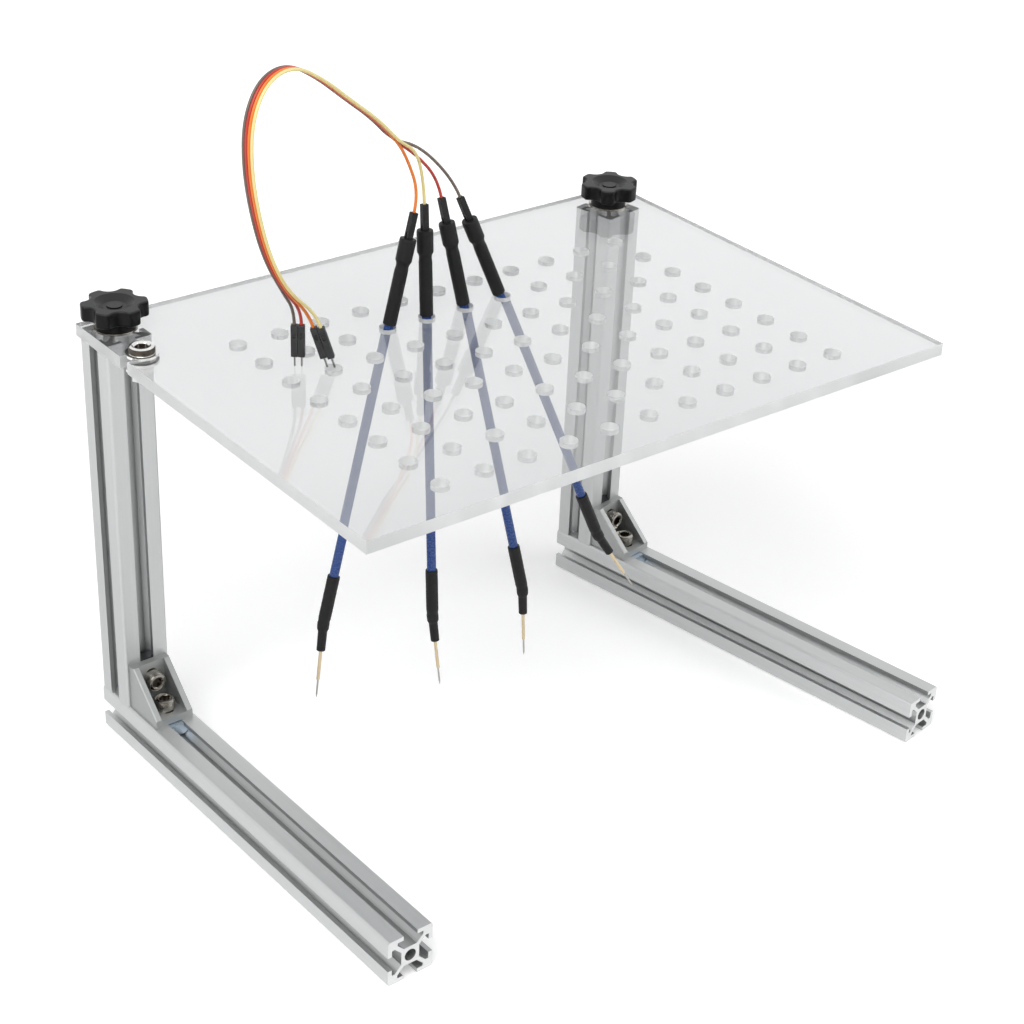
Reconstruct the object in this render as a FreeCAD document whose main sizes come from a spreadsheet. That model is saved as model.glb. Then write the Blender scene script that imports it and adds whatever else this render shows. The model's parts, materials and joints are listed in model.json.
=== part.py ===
import FreeCAD, Part
import math
import os
import Sketcher
from FreeCAD import Placement, Rotation, Vector

# A bench frame that holds needle probes over a circuit board. A clear plate with a grid of
# holes lies on two L-shaped legs of slotted aluminium profile, one star knob on each leg.
# Four probes hang in the holes, wired to a flat lead whose loose end stands on the plate.
# Millimetres, +Z up, origin on the floor in the middle of the footprint, -Y to the front.

DOC = FreeCAD.newDocument("programming_frame")
SHEET = DOC.addObject("Spreadsheet::Sheet", "Sizes")

SIZES = {
    # slotted profile
    "profile_side": 20,
    "profile_corner": 1.2,
    "slot_opening": 6.2,
    "slot_lip": 1.8,
    "slot_width": 11.5,
    "slot_wall": 1.3,
    "slot_depth": 6,
    "core_hole": 5,
    # legs
    "foot_length": 200,
    "upright_height": 160,
    "left_axis_x": -133.7,
    "left_axis_y": 89.9,
    "left_turn": 1.5,
    "right_axis_x": 105.3,
    "right_axis_y": 85.9,
    "right_turn": 9.5,
    # corner bracket
    "bracket_leg": 20,
    "bracket_width": 17,
    "bracket_wall": 3,
    "gusset_wall": 2.6,
    "bracket_lip": 3.5,
    "bracket_slot_width": 5.6,
    "bracket_slot_length": 9,
    "bracket_hole_place": 12.5,
    "bracket_edge_round": 0.6,
    # socket screws and slot nuts of the bracket
    "screw_diameter": 5,
    "screw_head": 8.5,
    "screw_head_height": 5,
    "screw_hex": 4,
    "screw_hex_depth": 2.5,
    "screw_grip": 6.5,
    "nut_length": 20,
    "nut_play": 0.2,
    "nut_lip_play": 0.05,
    "nut_floor_gap": 1,
    "nut_shift": 2.3,
    # clear plate
    "plate_width": 268,
    "plate_depth": 195,
    "plate_thickness": 5,
    "plate_side_margin": 11,
    "plate_back_margin": 11,
    "grid_pitch": 18.4,
    "grid_columns": 11,
    "grid_rows": 8,
    "grid_hole": 6.6,
    "grid_front_margin": 18,
    "knob_hole": 5.5,
    # star knobs
    "knob_diameter": 25.5,
    "knob_head_height": 6.2,
    "knob_hub_diameter": 15,
    "knob_hub_height": 3.6,
    "knob_lobes": 6,
    "knob_scallop_radius": 4.2,
    "knob_scallop_place": 14.2,
    "knob_lobe_round": 1.6,
    "knob_edge_round": 0.8,
    "knob_dish_diameter": 15.5,
    "knob_dish_floor": 9,
    "knob_dish_depth": 1.8,
    "knob_button": 6,
    "knob_button_height": 0.5,
    "knob_rest_turn": 8,
    "stud_play": 0.05,
    "stud_reach": 15,
    "stud_seat": 6,
    "washer_diameter": 17,
    "washer_thickness": 0.8,
    # screw clamped in the slot at the plate's left edge
    "clamp_place": 37,
    "clamp_inset": 7.8,
    "clamp_slot": 5.4,
    "clamp_head": 10,
    "clamp_head_height": 2.8,
    "clamp_hex": 3,
    "clamp_hex_depth": 1.8,
    "clamp_washer": 12.6,
    "clamp_washer_thickness": 1,
    "clamp_nut_flats": 8,
    "clamp_nut_height": 4,
    "clamp_end": 1.5,
    # probes, measured along each probe from the foot of its upper sleeve
    "tube_diameter": 3.8,
    "tube_bore": 1.7,
    "tube_drop": 108,
    "upper_sleeve_diameter": 5.4,
    "upper_sleeve_height": 24,
    "cuff_diameter": 6.6,
    "cuff_height": 10.5,
    "socket_side": 2.54,
    "socket_length": 14,
    "socket_sunk": 4,
    "lower_sleeve_diameter": 5.2,
    "lower_sleeve_length": 33,
    "lower_sleeve_cover": 20,
    "cuff_taper": 1,
    "cuff_mouth_taper": 1.5,
    "cuff_mouth_wall": 0.7,
    "kink_place": 21.5,
    "kink_heading": -39,
    "core_diameter": 1.2,
    "barrel_diameter": 1.4,
    "barrel_showing": 13,
    "barrel_top_gap": 0.4,
    "needle_diameter": 0.8,
    "needle_play": 0.05,
    "needle_showing": 8.5,
    "needle_hidden": 8,
    "needle_point": 2.2,
    "needle_travel": 4,
    "seat_play": 0.1,
    # flat lead and its loose end
    "wire_diameter": 1.2,
    "wire_pitch": 1.3,
    "wire_rise": 6,
    "wire_entry": 8,
    "end_housing_length": 12.5,
    "end_pin_side": 0.64,
    "end_pin_length": 4,
    "end_pin_sunk": 5,
    "end_pitch": 2.6,
    "end_pair_gap": 12,
    "end_pair_lean": 18,
    "end_place_x": -95.2,
    "end_place_y": 25.2,
    "end_heading": -39,
    # how far a cutting tool runs past what it cuts
    "overshoot": 1,
}

for row, (name, value) in enumerate(SIZES.items(), start=1):
    SHEET.set(f"A{row}", name)
    SHEET.set(f"B{row}", str(value))
    SHEET.setAlias(f"B{row}", name)
DOC.recompute()

NODES = {}


def size(formula):
    """The value of a formula written with the sheet's names."""
    return float(SHEET.evalExpression(spell(formula)))


def spell(formula):
    """A formula with each size name led by the sheet's own name."""
    words = ""
    word = ""
    for letter in str(formula) + " ":
        if letter.isalnum() or letter == "_":
            word += letter
            continue
        words += ("Sizes." + word if word in SIZES else word) + letter
        word = ""
    return words.strip()


def bind(item, formulas):
    """Ties properties of an object to formulas."""
    for name, formula in formulas.items():
        item.setExpression(name, spell(formula))


def keep(node, item):
    """Names a finished sub-part."""
    item.Label = node
    NODES[node] = item
    return item


# Placements of the assembly


def leg_place(side):
    return Placement(
        Vector(size(f"{side}_axis_x"), size(f"{side}_axis_y"), 0),
        Rotation(Vector(0, 0, 1), size(f"{side}_turn")),
    )


def plate_corner():
    """The plate's back left corner on its underside."""
    return Vector(
        size("left_axis_x - plate_side_margin"),
        size("left_axis_y + plate_back_margin"),
        size("profile_side + upright_height"),
    )


# Sketches


def new_body(node):
    return DOC.addObject("PartDesign::Body", node)


def sketch_on(body, role, name, shift=None):
    """A sketch on one of the body's own origin planes, moved by shift formulas."""
    sketch = body.newObject("Sketcher::SketchObject", name)
    plane = [item for item in body.Origin.OriginFeatures if item.Role == role][0]
    sketch.AttachmentSupport = [(plane, "")]
    sketch.MapMode = "FlatFace"
    for axis, formula in (shift or {}).items():
        bind(sketch, {f"AttachmentOffset.Base.{axis}": formula})
    return sketch


def pin_point(sketch, line, end, x, y):
    """Fixes one end of a line, or a circle's centre, at two formulas."""
    for kind, formula in (("DistanceX", x), ("DistanceY", y)):
        number = sketch.addConstraint(Sketcher.Constraint(kind, line, end, size(formula)))
        sketch.setExpression(f"Constraints[{number}]", spell(formula))


def outline(sketch, corners):
    """A closed outline of straight lines through corners given as formulas."""
    first = sketch.GeometryCount
    spots = [Vector(size(x), size(y), 0) for x, y in corners]
    count = len(spots)
    for i in range(count):
        sketch.addGeometry(Part.LineSegment(spots[i], spots[(i + 1) % count]), False)
    for i in range(count):
        after = first + (i + 1) % count
        sketch.addConstraint(Sketcher.Constraint("Coincident", first + i, 2, after, 1))
        pin_point(sketch, first + i, 1, *corners[i])


def circle(sketch, x, y, diameter):
    number = sketch.addGeometry(
        Part.Circle(Vector(size(x), size(y), 0), Vector(0, 0, 1), size(diameter) / 2), False
    )
    pin_point(sketch, number, 3, x, y)
    width = sketch.addConstraint(Sketcher.Constraint("Diameter", number, size(diameter)))
    sketch.setExpression(f"Constraints[{width}]", spell(diameter))


def box_outline(sketch, width, height):
    """A rectangle about the sketch's origin."""
    outline(
        sketch,
        [
            (f"-({width}) / 2", f"-({height}) / 2"),
            (f"({width}) / 2", f"-({height}) / 2"),
            (f"({width}) / 2", f"({height}) / 2"),
            (f"-({width}) / 2", f"({height}) / 2"),
        ],
    )


def pad(body, sketch, name, length, midplane=False, back=False):
    item = body.newObject("PartDesign::Pad", name)
    item.Profile = sketch
    item.Midplane = midplane
    item.Reversed = back
    bind(item, {"Length": length})
    body.Tip = item
    return item


def pocket(body, sketch, name, length, midplane=False, back=False):
    item = body.newObject("PartDesign::Pocket", name)
    item.Profile = sketch
    item.Midplane = midplane
    item.Reversed = back
    bind(item, {"Length": length})
    body.Tip = item
    return item


def turn(body, sketch, name):
    """A full turn of the sketch about its own upright axis."""
    item = body.newObject("PartDesign::Revolution", name)
    item.Profile = sketch
    item.ReferenceAxis = (sketch, ["V_Axis"])
    item.Angle = 360
    body.Tip = item
    return item


def ring_of(body, feature, sketch, name, count):
    """Copies of a feature about the sketch's normal."""
    item = body.newObject("PartDesign::PolarPattern", name)
    item.Originals = [feature]
    item.Axis = (sketch, ["N_Axis"])
    item.Angle = 360
    bind(item, {"Occurrences": count})
    body.Tip = item
    return item


def fillet(body, base, edges, name, radius):
    item = body.newObject("PartDesign::Fillet", name)
    item.Base = (base, edges)
    bind(item, {"Radius": radius})
    body.Tip = item
    return item


def edge_names(item, wanted):
    """Names of the edges of an object that a test picks."""
    DOC.recompute()
    return [f"Edge{i}" for i, edge in enumerate(item.Shape.Edges, start=1) if wanted(edge)]


# Slotted profile


def rail(node, role, shift, length):
    """A cut length of profile, its section drawn on a plane and padded along the normal."""
    body = new_body(node)
    section = sketch_on(body, role, "Section", shift)
    box_outline(section, "profile_side", "profile_side")
    bar = pad(body, section, "Bar", length)
    full = size(length)
    corners = edge_names(bar, lambda edge: abs(edge.Length - full) < 1e-6)
    fillet(body, bar, corners, "Corners", "profile_corner")
    groove = sketch_on(body, role, "SlotSection", shift)
    top = "profile_side / 2"
    under_lip = "profile_side / 2 - slot_lip"
    shoulder = "profile_side / 2 - slot_lip - slot_wall"
    floor = "profile_side / 2 - slot_depth"
    floor_half = "slot_width / 2 - (slot_depth - slot_lip - slot_wall)"
    outline(
        groove,
        [
            ("slot_opening / 2", top),
            ("slot_opening / 2", under_lip),
            ("slot_width / 2", under_lip),
            ("slot_width / 2", shoulder),
            (floor_half, floor),
            (f"-({floor_half})", floor),
            ("-slot_width / 2", shoulder),
            ("-slot_width / 2", under_lip),
            ("-slot_opening / 2", under_lip),
            ("-slot_opening / 2", top),
        ],
    )
    slot = pocket(body, groove, "Slot", length, back=True)
    ring_of(body, slot, groove, "Slots", "4")
    core = sketch_on(body, role, "CoreSection", shift)
    circle(core, "0", "0", "core_hole")
    pocket(body, core, "Core", length, back=True)
    return keep(node, body)


def leg_rails(side):
    foot = rail(
        f"{side}_foot_rail",
        "XZ_Plane",
        {"y": "profile_side / 2", "z": "-profile_side / 2"},
        "foot_length",
    )
    upright = rail(f"{side}_upright", "XY_Plane", {"z": "profile_side"}, "upright_height")
    for item in (foot, upright):
        item.Placement = leg_place(side)


# Cast corner bracket


def corner_bracket(side):
    """Sits in the corner between the foot's top and the upright's front."""
    body = new_body(f"{side}_corner_bracket")
    gusset = sketch_on(body, "YZ_Plane", "Gusset")
    back = "-profile_side / 2"
    front = "-(profile_side / 2 + bracket_leg)"
    low = "profile_side"
    high = "profile_side + bracket_leg"
    outline(
        gusset,
        [
            (back, low),
            (back, high),
            (f"{back} - bracket_lip", high),
            (front, f"{low} + bracket_lip"),
            (front, low),
        ],
    )
    casting = pad(body, gusset, "Casting", "bracket_width", midplane=True)
    fillet(body, casting, edge_names(casting, sloping), "SlopeEdges", "bracket_edge_round")
    hollow = sketch_on(body, "YZ_Plane", "Hollow")
    outline(
        hollow,
        [
            (f"{back} - bracket_wall", f"{low} + bracket_wall"),
            (f"{back} - bracket_wall", f"{high} + overshoot"),
            (f"{front} - overshoot", f"{high} + overshoot"),
            (f"{front} - overshoot", f"{low} + bracket_wall"),
        ],
    )
    pocket(body, hollow, "Inside", "bracket_width - 2 * gusset_wall", midplane=True)
    upper = sketch_on(body, "XZ_Plane", "UpperHole", {"z": "profile_side / 2"})
    oval(upper, f"{low} + bracket_hole_place", "bracket_slot_width", "bracket_slot_length")
    pocket(body, upper, "UpperSlot", "bracket_wall + overshoot", back=True)
    lower = sketch_on(body, "XY_Plane", "LowerHole", {"z": "profile_side"})
    oval(lower, f"{back} - bracket_hole_place", "bracket_slot_width", "bracket_slot_length")
    pocket(body, lower, "LowerSlot", "bracket_wall + overshoot", back=True)
    body.Placement = leg_place(side)
    return keep(body.Name, body)


def sloping(edge):
    """True for the two long edges of a gusset's slope."""
    start, end = edge.Vertexes[0].Point, edge.Vertexes[-1].Point
    return abs(start.y - end.y) > 1 and abs(start.z - end.z) > 1


def oval(sketch, middle, width, length):
    """An upright slot with round ends about a middle on the sketch's y axis."""
    half = f"({length} - {width}) / 2"
    radius = size(width) / 2
    low = Vector(0, size(f"{middle} - {half}"), 0)
    high = Vector(0, size(f"{middle} + {half}"), 0)
    up = Vector(0, 0, 1)
    top = Part.ArcOfCircle(Part.Circle(high, up, radius), 0, math.pi)
    bottom = Part.ArcOfCircle(Part.Circle(low, up, radius), math.pi, 2 * math.pi)
    side = Vector(radius, 0, 0)
    arcs = [sketch.addGeometry(top, False), sketch.addGeometry(bottom, False)]
    lines = [
        sketch.addGeometry(Part.LineSegment(high - side, low - side), False),
        sketch.addGeometry(Part.LineSegment(low + side, high + side), False),
    ]
    join = Sketcher.Constraint
    sketch.addConstraint(join("Tangent", arcs[0], 2, lines[0], 1))
    sketch.addConstraint(join("Tangent", lines[0], 2, arcs[1], 1))
    sketch.addConstraint(join("Tangent", arcs[1], 2, lines[1], 1))
    sketch.addConstraint(join("Tangent", lines[1], 2, arcs[0], 1))
    pin_point(sketch, arcs[0], 3, "0", f"{middle} + {half}")
    pin_point(sketch, arcs[1], 3, "0", f"{middle} - {half}")
    number = sketch.addConstraint(join("Radius", arcs[0], radius))
    sketch.setExpression(f"Constraints[{number}]", spell(f"{width} / 2"))


# Plain solids


def cylinder(name, diameter, height, base="0"):
    item = DOC.addObject("Part::Cylinder", name)
    bind(item, {"Radius": f"({diameter}) / 2", "Height": height, "Placement.Base.z": base})
    return item


def hexagon(name, flats, height, base="0"):
    item = DOC.addObject("Part::Prism", name)
    item.Polygon = 6
    bind(item, {"Circumradius": f"({flats}) / sqrt(3)", "Height": height})
    bind(item, {"Placement.Base.z": base})
    return item


def block(name, x_side, y_side, height, base="0"):
    item = DOC.addObject("Part::Box", name)
    bind(item, {"Length": x_side, "Width": y_side, "Height": height})
    bind(item, {"Placement.Base.x": f"-({x_side}) / 2", "Placement.Base.y": f"-({y_side}) / 2"})
    bind(item, {"Placement.Base.z": base})
    return item


def cut(name, base, tool):
    item = DOC.addObject("Part::Cut", name)
    item.Base = base
    item.Tool = tool
    return item


def fuse(name, parts):
    item = DOC.addObject("Part::MultiFuse", name)
    item.Shapes = parts
    return item


def group(node, parts):
    """Separate like solids kept as one sub-part."""
    item = DOC.addObject("Part::Compound", node)
    item.Links = parts
    return keep(node, item)


def carried(node, item):
    """One plain solid as a sub-part, with a place of its own."""
    return group(node, [item])


def placed(name, item, place):
    """One plain solid, not a sub-part by itself, set at a place of its own."""
    holder = DOC.addObject("Part::Compound", name)
    holder.Links = [item]
    holder.Placement = place
    return holder


def socket_screw(name, length):
    """Head above zero, shank below it."""
    head = cylinder(f"{name}_head", "screw_head", "screw_head_height")
    recess = hexagon(
        f"{name}_recess",
        "screw_hex",
        "screw_hex_depth + overshoot",
        "screw_head_height - screw_hex_depth",
    )
    shank = cylinder(f"{name}_shank", "screw_diameter", length, f"-({length})")
    return fuse(name, [cut(f"{name}_socket", head, recess), shank])


def bracket_screws(side):
    upper = socket_screw(f"{side}_upper_screw", "screw_grip")
    lower = socket_screw(f"{side}_lower_screw", "screw_grip")
    reach = size("profile_side / 2 + bracket_wall")
    height = size("profile_side + bracket_hole_place")
    upper.Placement = Placement(Vector(0, -reach, height), Rotation(Vector(1, 0, 0), 90))
    inward = size("profile_side / 2 + bracket_hole_place")
    top = size("profile_side + bracket_wall")
    lower.Placement = Placement(Vector(0, -inward, top), Rotation())
    group(f"{side}_bracket_screws", [upper, lower]).Placement = leg_place(side)


def slot_nut(node, shift):
    """A long nut that fills the slot under its lips, its hole at zero and its bar shifted."""
    body = new_body(node)
    section = sketch_on(body, "YZ_Plane", "Section", {"z": shift})
    floor_half = "slot_width / 2 - (slot_depth - slot_lip - slot_wall)"
    outline(
        section,
        [
            ("slot_opening / 2 - nut_play", "-nut_play"),
            ("slot_opening / 2 - nut_play", "-slot_lip - nut_lip_play"),
            ("slot_width / 2 - 2 * nut_play", "-slot_lip - nut_lip_play"),
            ("slot_width / 2 - 2 * nut_play", "-slot_lip - slot_wall"),
            (f"{floor_half} + nut_floor_gap - 2 * nut_play", "-slot_depth + nut_floor_gap"),
            (f"-({floor_half} + nut_floor_gap - 2 * nut_play)", "-slot_depth + nut_floor_gap"),
            ("-slot_width / 2 + 2 * nut_play", "-slot_lip - slot_wall"),
            ("-slot_width / 2 + 2 * nut_play", "-slot_lip - nut_lip_play"),
            ("-slot_opening / 2 + nut_play", "-slot_lip - nut_lip_play"),
            ("-slot_opening / 2 + nut_play", "-nut_play"),
        ],
    )
    pad(body, section, "Bar", "nut_length", midplane=True)
    hole = sketch_on(body, "XY_Plane", "HoleSection")
    circle(hole, "0", "0", "screw_diameter")
    pocket(body, hole, "Hole", "3 * slot_depth", midplane=True)
    return body


def slot_nuts(side):
    """One in the upright's front slot, one in the foot's top slot."""
    upper = slot_nut(f"{side}_upper_nut", "-nut_shift")
    lower = slot_nut(f"{side}_lower_nut", "0")
    reach = size("profile_side / 2")
    height = size("profile_side + bracket_hole_place")
    lay = Rotation(Vector(0, 0, 1), 90)
    upper.Placement = Placement(
        Vector(0, -reach, height), Rotation(Vector(1, 0, 0), 90).multiply(lay)
    )
    inward = size("profile_side / 2 + bracket_hole_place")
    lower.Placement = Placement(Vector(0, -inward, size("profile_side")), lay)
    group(f"{side}_slot_nuts", [upper, lower]).Placement = leg_place(side)


# Clear plate


def probe_plate():
    """Corner at the body's origin, +X along the back edge, -Y to the front."""
    body = new_body("probe_plate")
    sheet = sketch_on(body, "XY_Plane", "Outline")
    outline(
        sheet,
        [("0", "-plate_depth"), ("plate_width", "-plate_depth"), ("plate_width", "0"), ("0", "0")],
    )
    pad(body, sheet, "Sheet", "plate_thickness")
    first = sketch_on(body, "XY_Plane", "FirstHole")
    circle(first, grid_x(0), grid_y(0), "grid_hole")
    hole = pocket(body, first, "Hole", "plate_thickness", back=True)
    across = body.newObject("PartDesign::LinearPattern", "Across")
    across.Direction = (first, ["H_Axis"])
    bind(across, {"Length": "grid_pitch * (grid_columns - 1)", "Occurrences": "grid_columns"})
    down = body.newObject("PartDesign::LinearPattern", "Down")
    down.Direction = (first, ["V_Axis"])
    down.Reversed = True
    bind(down, {"Length": "grid_pitch * (grid_rows - 1)", "Occurrences": "grid_rows"})
    grid = body.newObject("PartDesign::MultiTransform", "Grid")
    grid.Originals = [hole]
    grid.Transformations = [across, down]
    body.Tip = grid
    knobs = sketch_on(body, "XY_Plane", "KnobHoles")
    circle(knobs, "plate_side_margin", "-plate_back_margin", "knob_hole")
    circle(
        knobs,
        "right_axis_x - left_axis_x + plate_side_margin",
        "right_axis_y - left_axis_y - plate_back_margin",
        "knob_hole",
    )
    pocket(body, knobs, "KnobClearance", "plate_thickness", back=True)
    edge_slot = sketch_on(body, "XY_Plane", "EdgeSlot")
    outline(
        edge_slot,
        [
            ("-overshoot", "-clamp_place - clamp_slot / 2"),
            ("clamp_inset", "-clamp_place - clamp_slot / 2"),
            ("clamp_inset", "-clamp_place + clamp_slot / 2"),
            ("-overshoot", "-clamp_place + clamp_slot / 2"),
        ],
    )
    pocket(body, edge_slot, "EdgeGap", "plate_thickness", back=True)
    slot_end = sketch_on(body, "XY_Plane", "EdgeSlotEnd")
    circle(slot_end, "clamp_inset", "-clamp_place", "clamp_slot")
    pocket(body, slot_end, "EdgeGapEnd", "plate_thickness", back=True)
    body.Placement = Placement(plate_corner(), Rotation())
    return keep("probe_plate", body)


def grid_x(column):
    """A column's distance from the plate's left edge: the grid is centred on the plate."""
    return f"(plate_width - grid_pitch * (grid_columns - 1)) / 2 + grid_pitch * {column}"


def grid_y(row):
    """A row's place from the plate's back edge, the rows counted from the back."""
    return f"-(plate_depth - grid_front_margin - grid_pitch * (grid_rows - 1 - {row}))"


# Star knobs with their studs


def star_knob(side):
    """Its underside rests on the knob's washer. Lobes are what six round cuts leave."""
    body = new_body(f"{side}_star_knob")
    head = sketch_on(body, "XY_Plane", "Head", {"z": "knob_hub_height"})
    circle(head, "0", "0", "knob_diameter")
    pad(body, head, "HeadDisc", "knob_head_height")
    scallop_sketch = sketch_on(body, "XY_Plane", "Scallop", {"z": "knob_hub_height"})
    circle(scallop_sketch, "knob_scallop_place", "0", "2 * knob_scallop_radius")
    scallop = pocket(body, scallop_sketch, "ScallopCut", "knob_head_height", back=True)
    star = ring_of(body, scallop, scallop_sketch, "Lobes", "knob_lobes")
    tall = size("knob_head_height")
    corners = edge_names(star, lambda edge: upright_line(edge, tall))
    rounded = fillet(body, star, corners, "LobeRounds", "knob_lobe_round")
    top = size("knob_hub_height + knob_head_height")
    bottom = size("knob_hub_height")
    edges = edge_names(rounded, lambda edge: level_at(edge, top) or level_at(edge, bottom))
    fillet(body, rounded, edges, "EdgeRounds", "knob_edge_round")
    hub = sketch_on(body, "XY_Plane", "Hub")
    circle(hub, "0", "0", "knob_hub_diameter")
    pad(body, hub, "HubDisc", "knob_hub_height")
    dish = sketch_on(body, "XZ_Plane", "Dish")
    rim = "knob_hub_height + knob_head_height"
    floor = f"{rim} - knob_dish_depth"
    outline(
        dish,
        [
            ("0", f"{floor} + knob_button_height"),
            ("knob_button / 2", f"{floor} + knob_button_height"),
            ("knob_button / 2", floor),
            ("knob_dish_floor / 2", floor),
            ("knob_dish_diameter / 2", rim),
            ("0", rim),
        ],
    )
    groove = body.newObject("PartDesign::Groove", "DishCut")
    groove.Profile = dish
    groove.ReferenceAxis = (dish, ["V_Axis"])
    groove.Angle = 360
    body.Tip = groove
    seat = sketch_on(body, "XY_Plane", "StudSeat")
    circle(seat, "0", "0", "core_hole - 2 * stud_play")
    pocket(body, seat, "StudHole", "stud_seat", back=True)
    base = "profile_side + upright_height + plate_thickness + washer_thickness"
    rest = Rotation(Vector(0, 0, 1), size("knob_rest_turn"))
    body.Placement = leg_place(side).multiply(Placement(Vector(0, 0, size(base)), rest))
    keep(f"{side}_star_knob", body)
    rod = cylinder(
        f"{side}_stud_rod",
        "core_hole - 2 * stud_play",
        "stud_reach + plate_thickness + washer_thickness + stud_seat",
    )
    stud = carried(f"{side}_knob_stud", rod)
    foot = size("profile_side + upright_height - stud_reach")
    stud.Placement = leg_place(side).multiply(Placement(Vector(0, 0, foot), Rotation()))
    disc = cylinder(f"{side}_washer_disc", "washer_diameter", "washer_thickness")
    bore = cylinder(f"{side}_washer_bore", "knob_hole", "washer_thickness")
    washer = cut(f"{side}_knob_washer", disc, bore)
    top_face = size("profile_side + upright_height + plate_thickness")
    washer.Placement = leg_place(side).multiply(Placement(Vector(0, 0, top_face), Rotation()))
    keep(f"{side}_knob_washer", washer)


def upright_line(edge, length):
    """True for an upright straight edge of that length."""
    straight = isinstance(edge.Curve, Part.Line)
    return straight and abs(edge.Length - length) < 1e-6


def level_at(edge, height):
    """True for an edge that lies flat at that height."""
    box = edge.BoundBox
    return abs(box.ZMin - height) < 1e-4 and abs(box.ZMax - height) < 1e-4


# Clamp screw


def clamp_set():
    """A button screw in the plate's edge slot, with a washer above and below, and its nut."""
    top = "profile_side + upright_height + plate_thickness"
    x = size("left_axis_x - plate_side_margin + clamp_inset")
    y = size("left_axis_y + plate_back_margin - clamp_place")
    grip = "plate_thickness + 2 * clamp_washer_thickness + clamp_nut_height + clamp_end"
    head = cylinder("clamp_head", "clamp_head", "clamp_head_height", "clamp_washer_thickness")
    recess = hexagon(
        "clamp_recess",
        "clamp_hex",
        "clamp_hex_depth + overshoot",
        "clamp_washer_thickness + clamp_head_height - clamp_hex_depth",
    )
    shank = cylinder("clamp_shank", "screw_diameter", grip, f"clamp_washer_thickness - ({grip})")
    screw = fuse("clamp_screw", [cut("clamp_socket", head, recess), shank])
    keep("clamp_screw", screw)
    washers = []
    for name, base in (
        ("clamp_top_washer", "0"),
        ("clamp_low_washer", "-plate_thickness - clamp_washer_thickness"),
    ):
        disc = cylinder(f"{name}_disc", "clamp_washer", "clamp_washer_thickness", base)
        bore = cylinder(f"{name}_bore", "screw_diameter", "clamp_washer_thickness", base)
        washers.append(cut(name, disc, bore))
    rings = group("clamp_washers", washers)
    under = "-plate_thickness - clamp_washer_thickness - clamp_nut_height"
    body = hexagon("clamp_nut_body", "clamp_nut_flats", "clamp_nut_height", under)
    bore = cylinder("clamp_nut_bore", "screw_diameter", "clamp_nut_height", under)
    nut = keep("clamp_nut", cut("clamp_nut", body, bore))
    for item in (screw, rings, nut):
        item.Placement = Placement(Vector(x, y, size(top)), Rotation())


# Probes

# wire colour, grid column, lean from upright and heading of the lean in degrees, how much
# longer its tube is than the common one, and the kink of its needle holder in degrees
PROBES = [
    ("orange", 3, 14.6, 3.3, -2.0, 6.5),
    ("yellow", 4, 4.8, 80.5, 2.5, 4.5),
    ("red", 5, 12.4, 138.5, 3.0, -9.0),
    ("brown", 6, 22.3, 157.5, -4.0, 10.5),
]
PROBE_ROW = 1


def probe_axis(number):
    """The placement of a probe: its zero is the foot of its upper sleeve, +Z along it."""
    _, column, lean, heading, _, _ = PROBES[number - 1]
    hole = plate_corner()
    hole += Vector(size(grid_x(column)), size(grid_y(PROBE_ROW)), size("plate_thickness / 2"))
    axis = Vector(-math.sin(math.radians(heading)), math.cos(math.radians(heading)), 0)
    tilt = Rotation(axis, lean)
    slope = math.radians(lean)
    rim = size("upper_sleeve_diameter / 2") * math.sin(slope)
    rise = size("plate_thickness / 2 + seat_play") + rim
    along = tilt.multVec(Vector(0, 0, 1))
    return Placement(hole + along * (rise / math.cos(slope)), tilt)


def socket_top(number):
    """The middle of a probe's socket's upper face, and the way the probe points there."""
    place = probe_axis(number)
    height = size("upper_sleeve_height + cuff_height - socket_sunk + socket_length")
    return place.multVec(Vector(0, 0, height)), place.Rotation.multVec(Vector(0, 0, 1))


def turned(node, half_outline):
    """A round piece from the outline of one half, as radius and height formulas."""
    body = new_body(node)
    sketch = sketch_on(body, "XZ_Plane", "HalfOutline")
    outline(sketch, half_outline)
    turn(body, sketch, "Turned")
    return body


def kink_place(number):
    """Where the needle holder bends, from the probe's own zero: +Z up the needle's line."""
    *_, longer, kink = PROBES[number - 1]
    heading = math.radians(size("kink_heading"))
    axis = Vector(math.sin(heading), -math.cos(heading), 0)
    turn_in_world = Rotation(axis, kink).multiply(probe_axis(number).Rotation)
    turn_in_probe = probe_axis(number).Rotation.inverted().multiply(turn_in_world)
    return Placement(Vector(0, 0, -size("tube_drop + kink_place") - longer), turn_in_probe)


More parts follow.
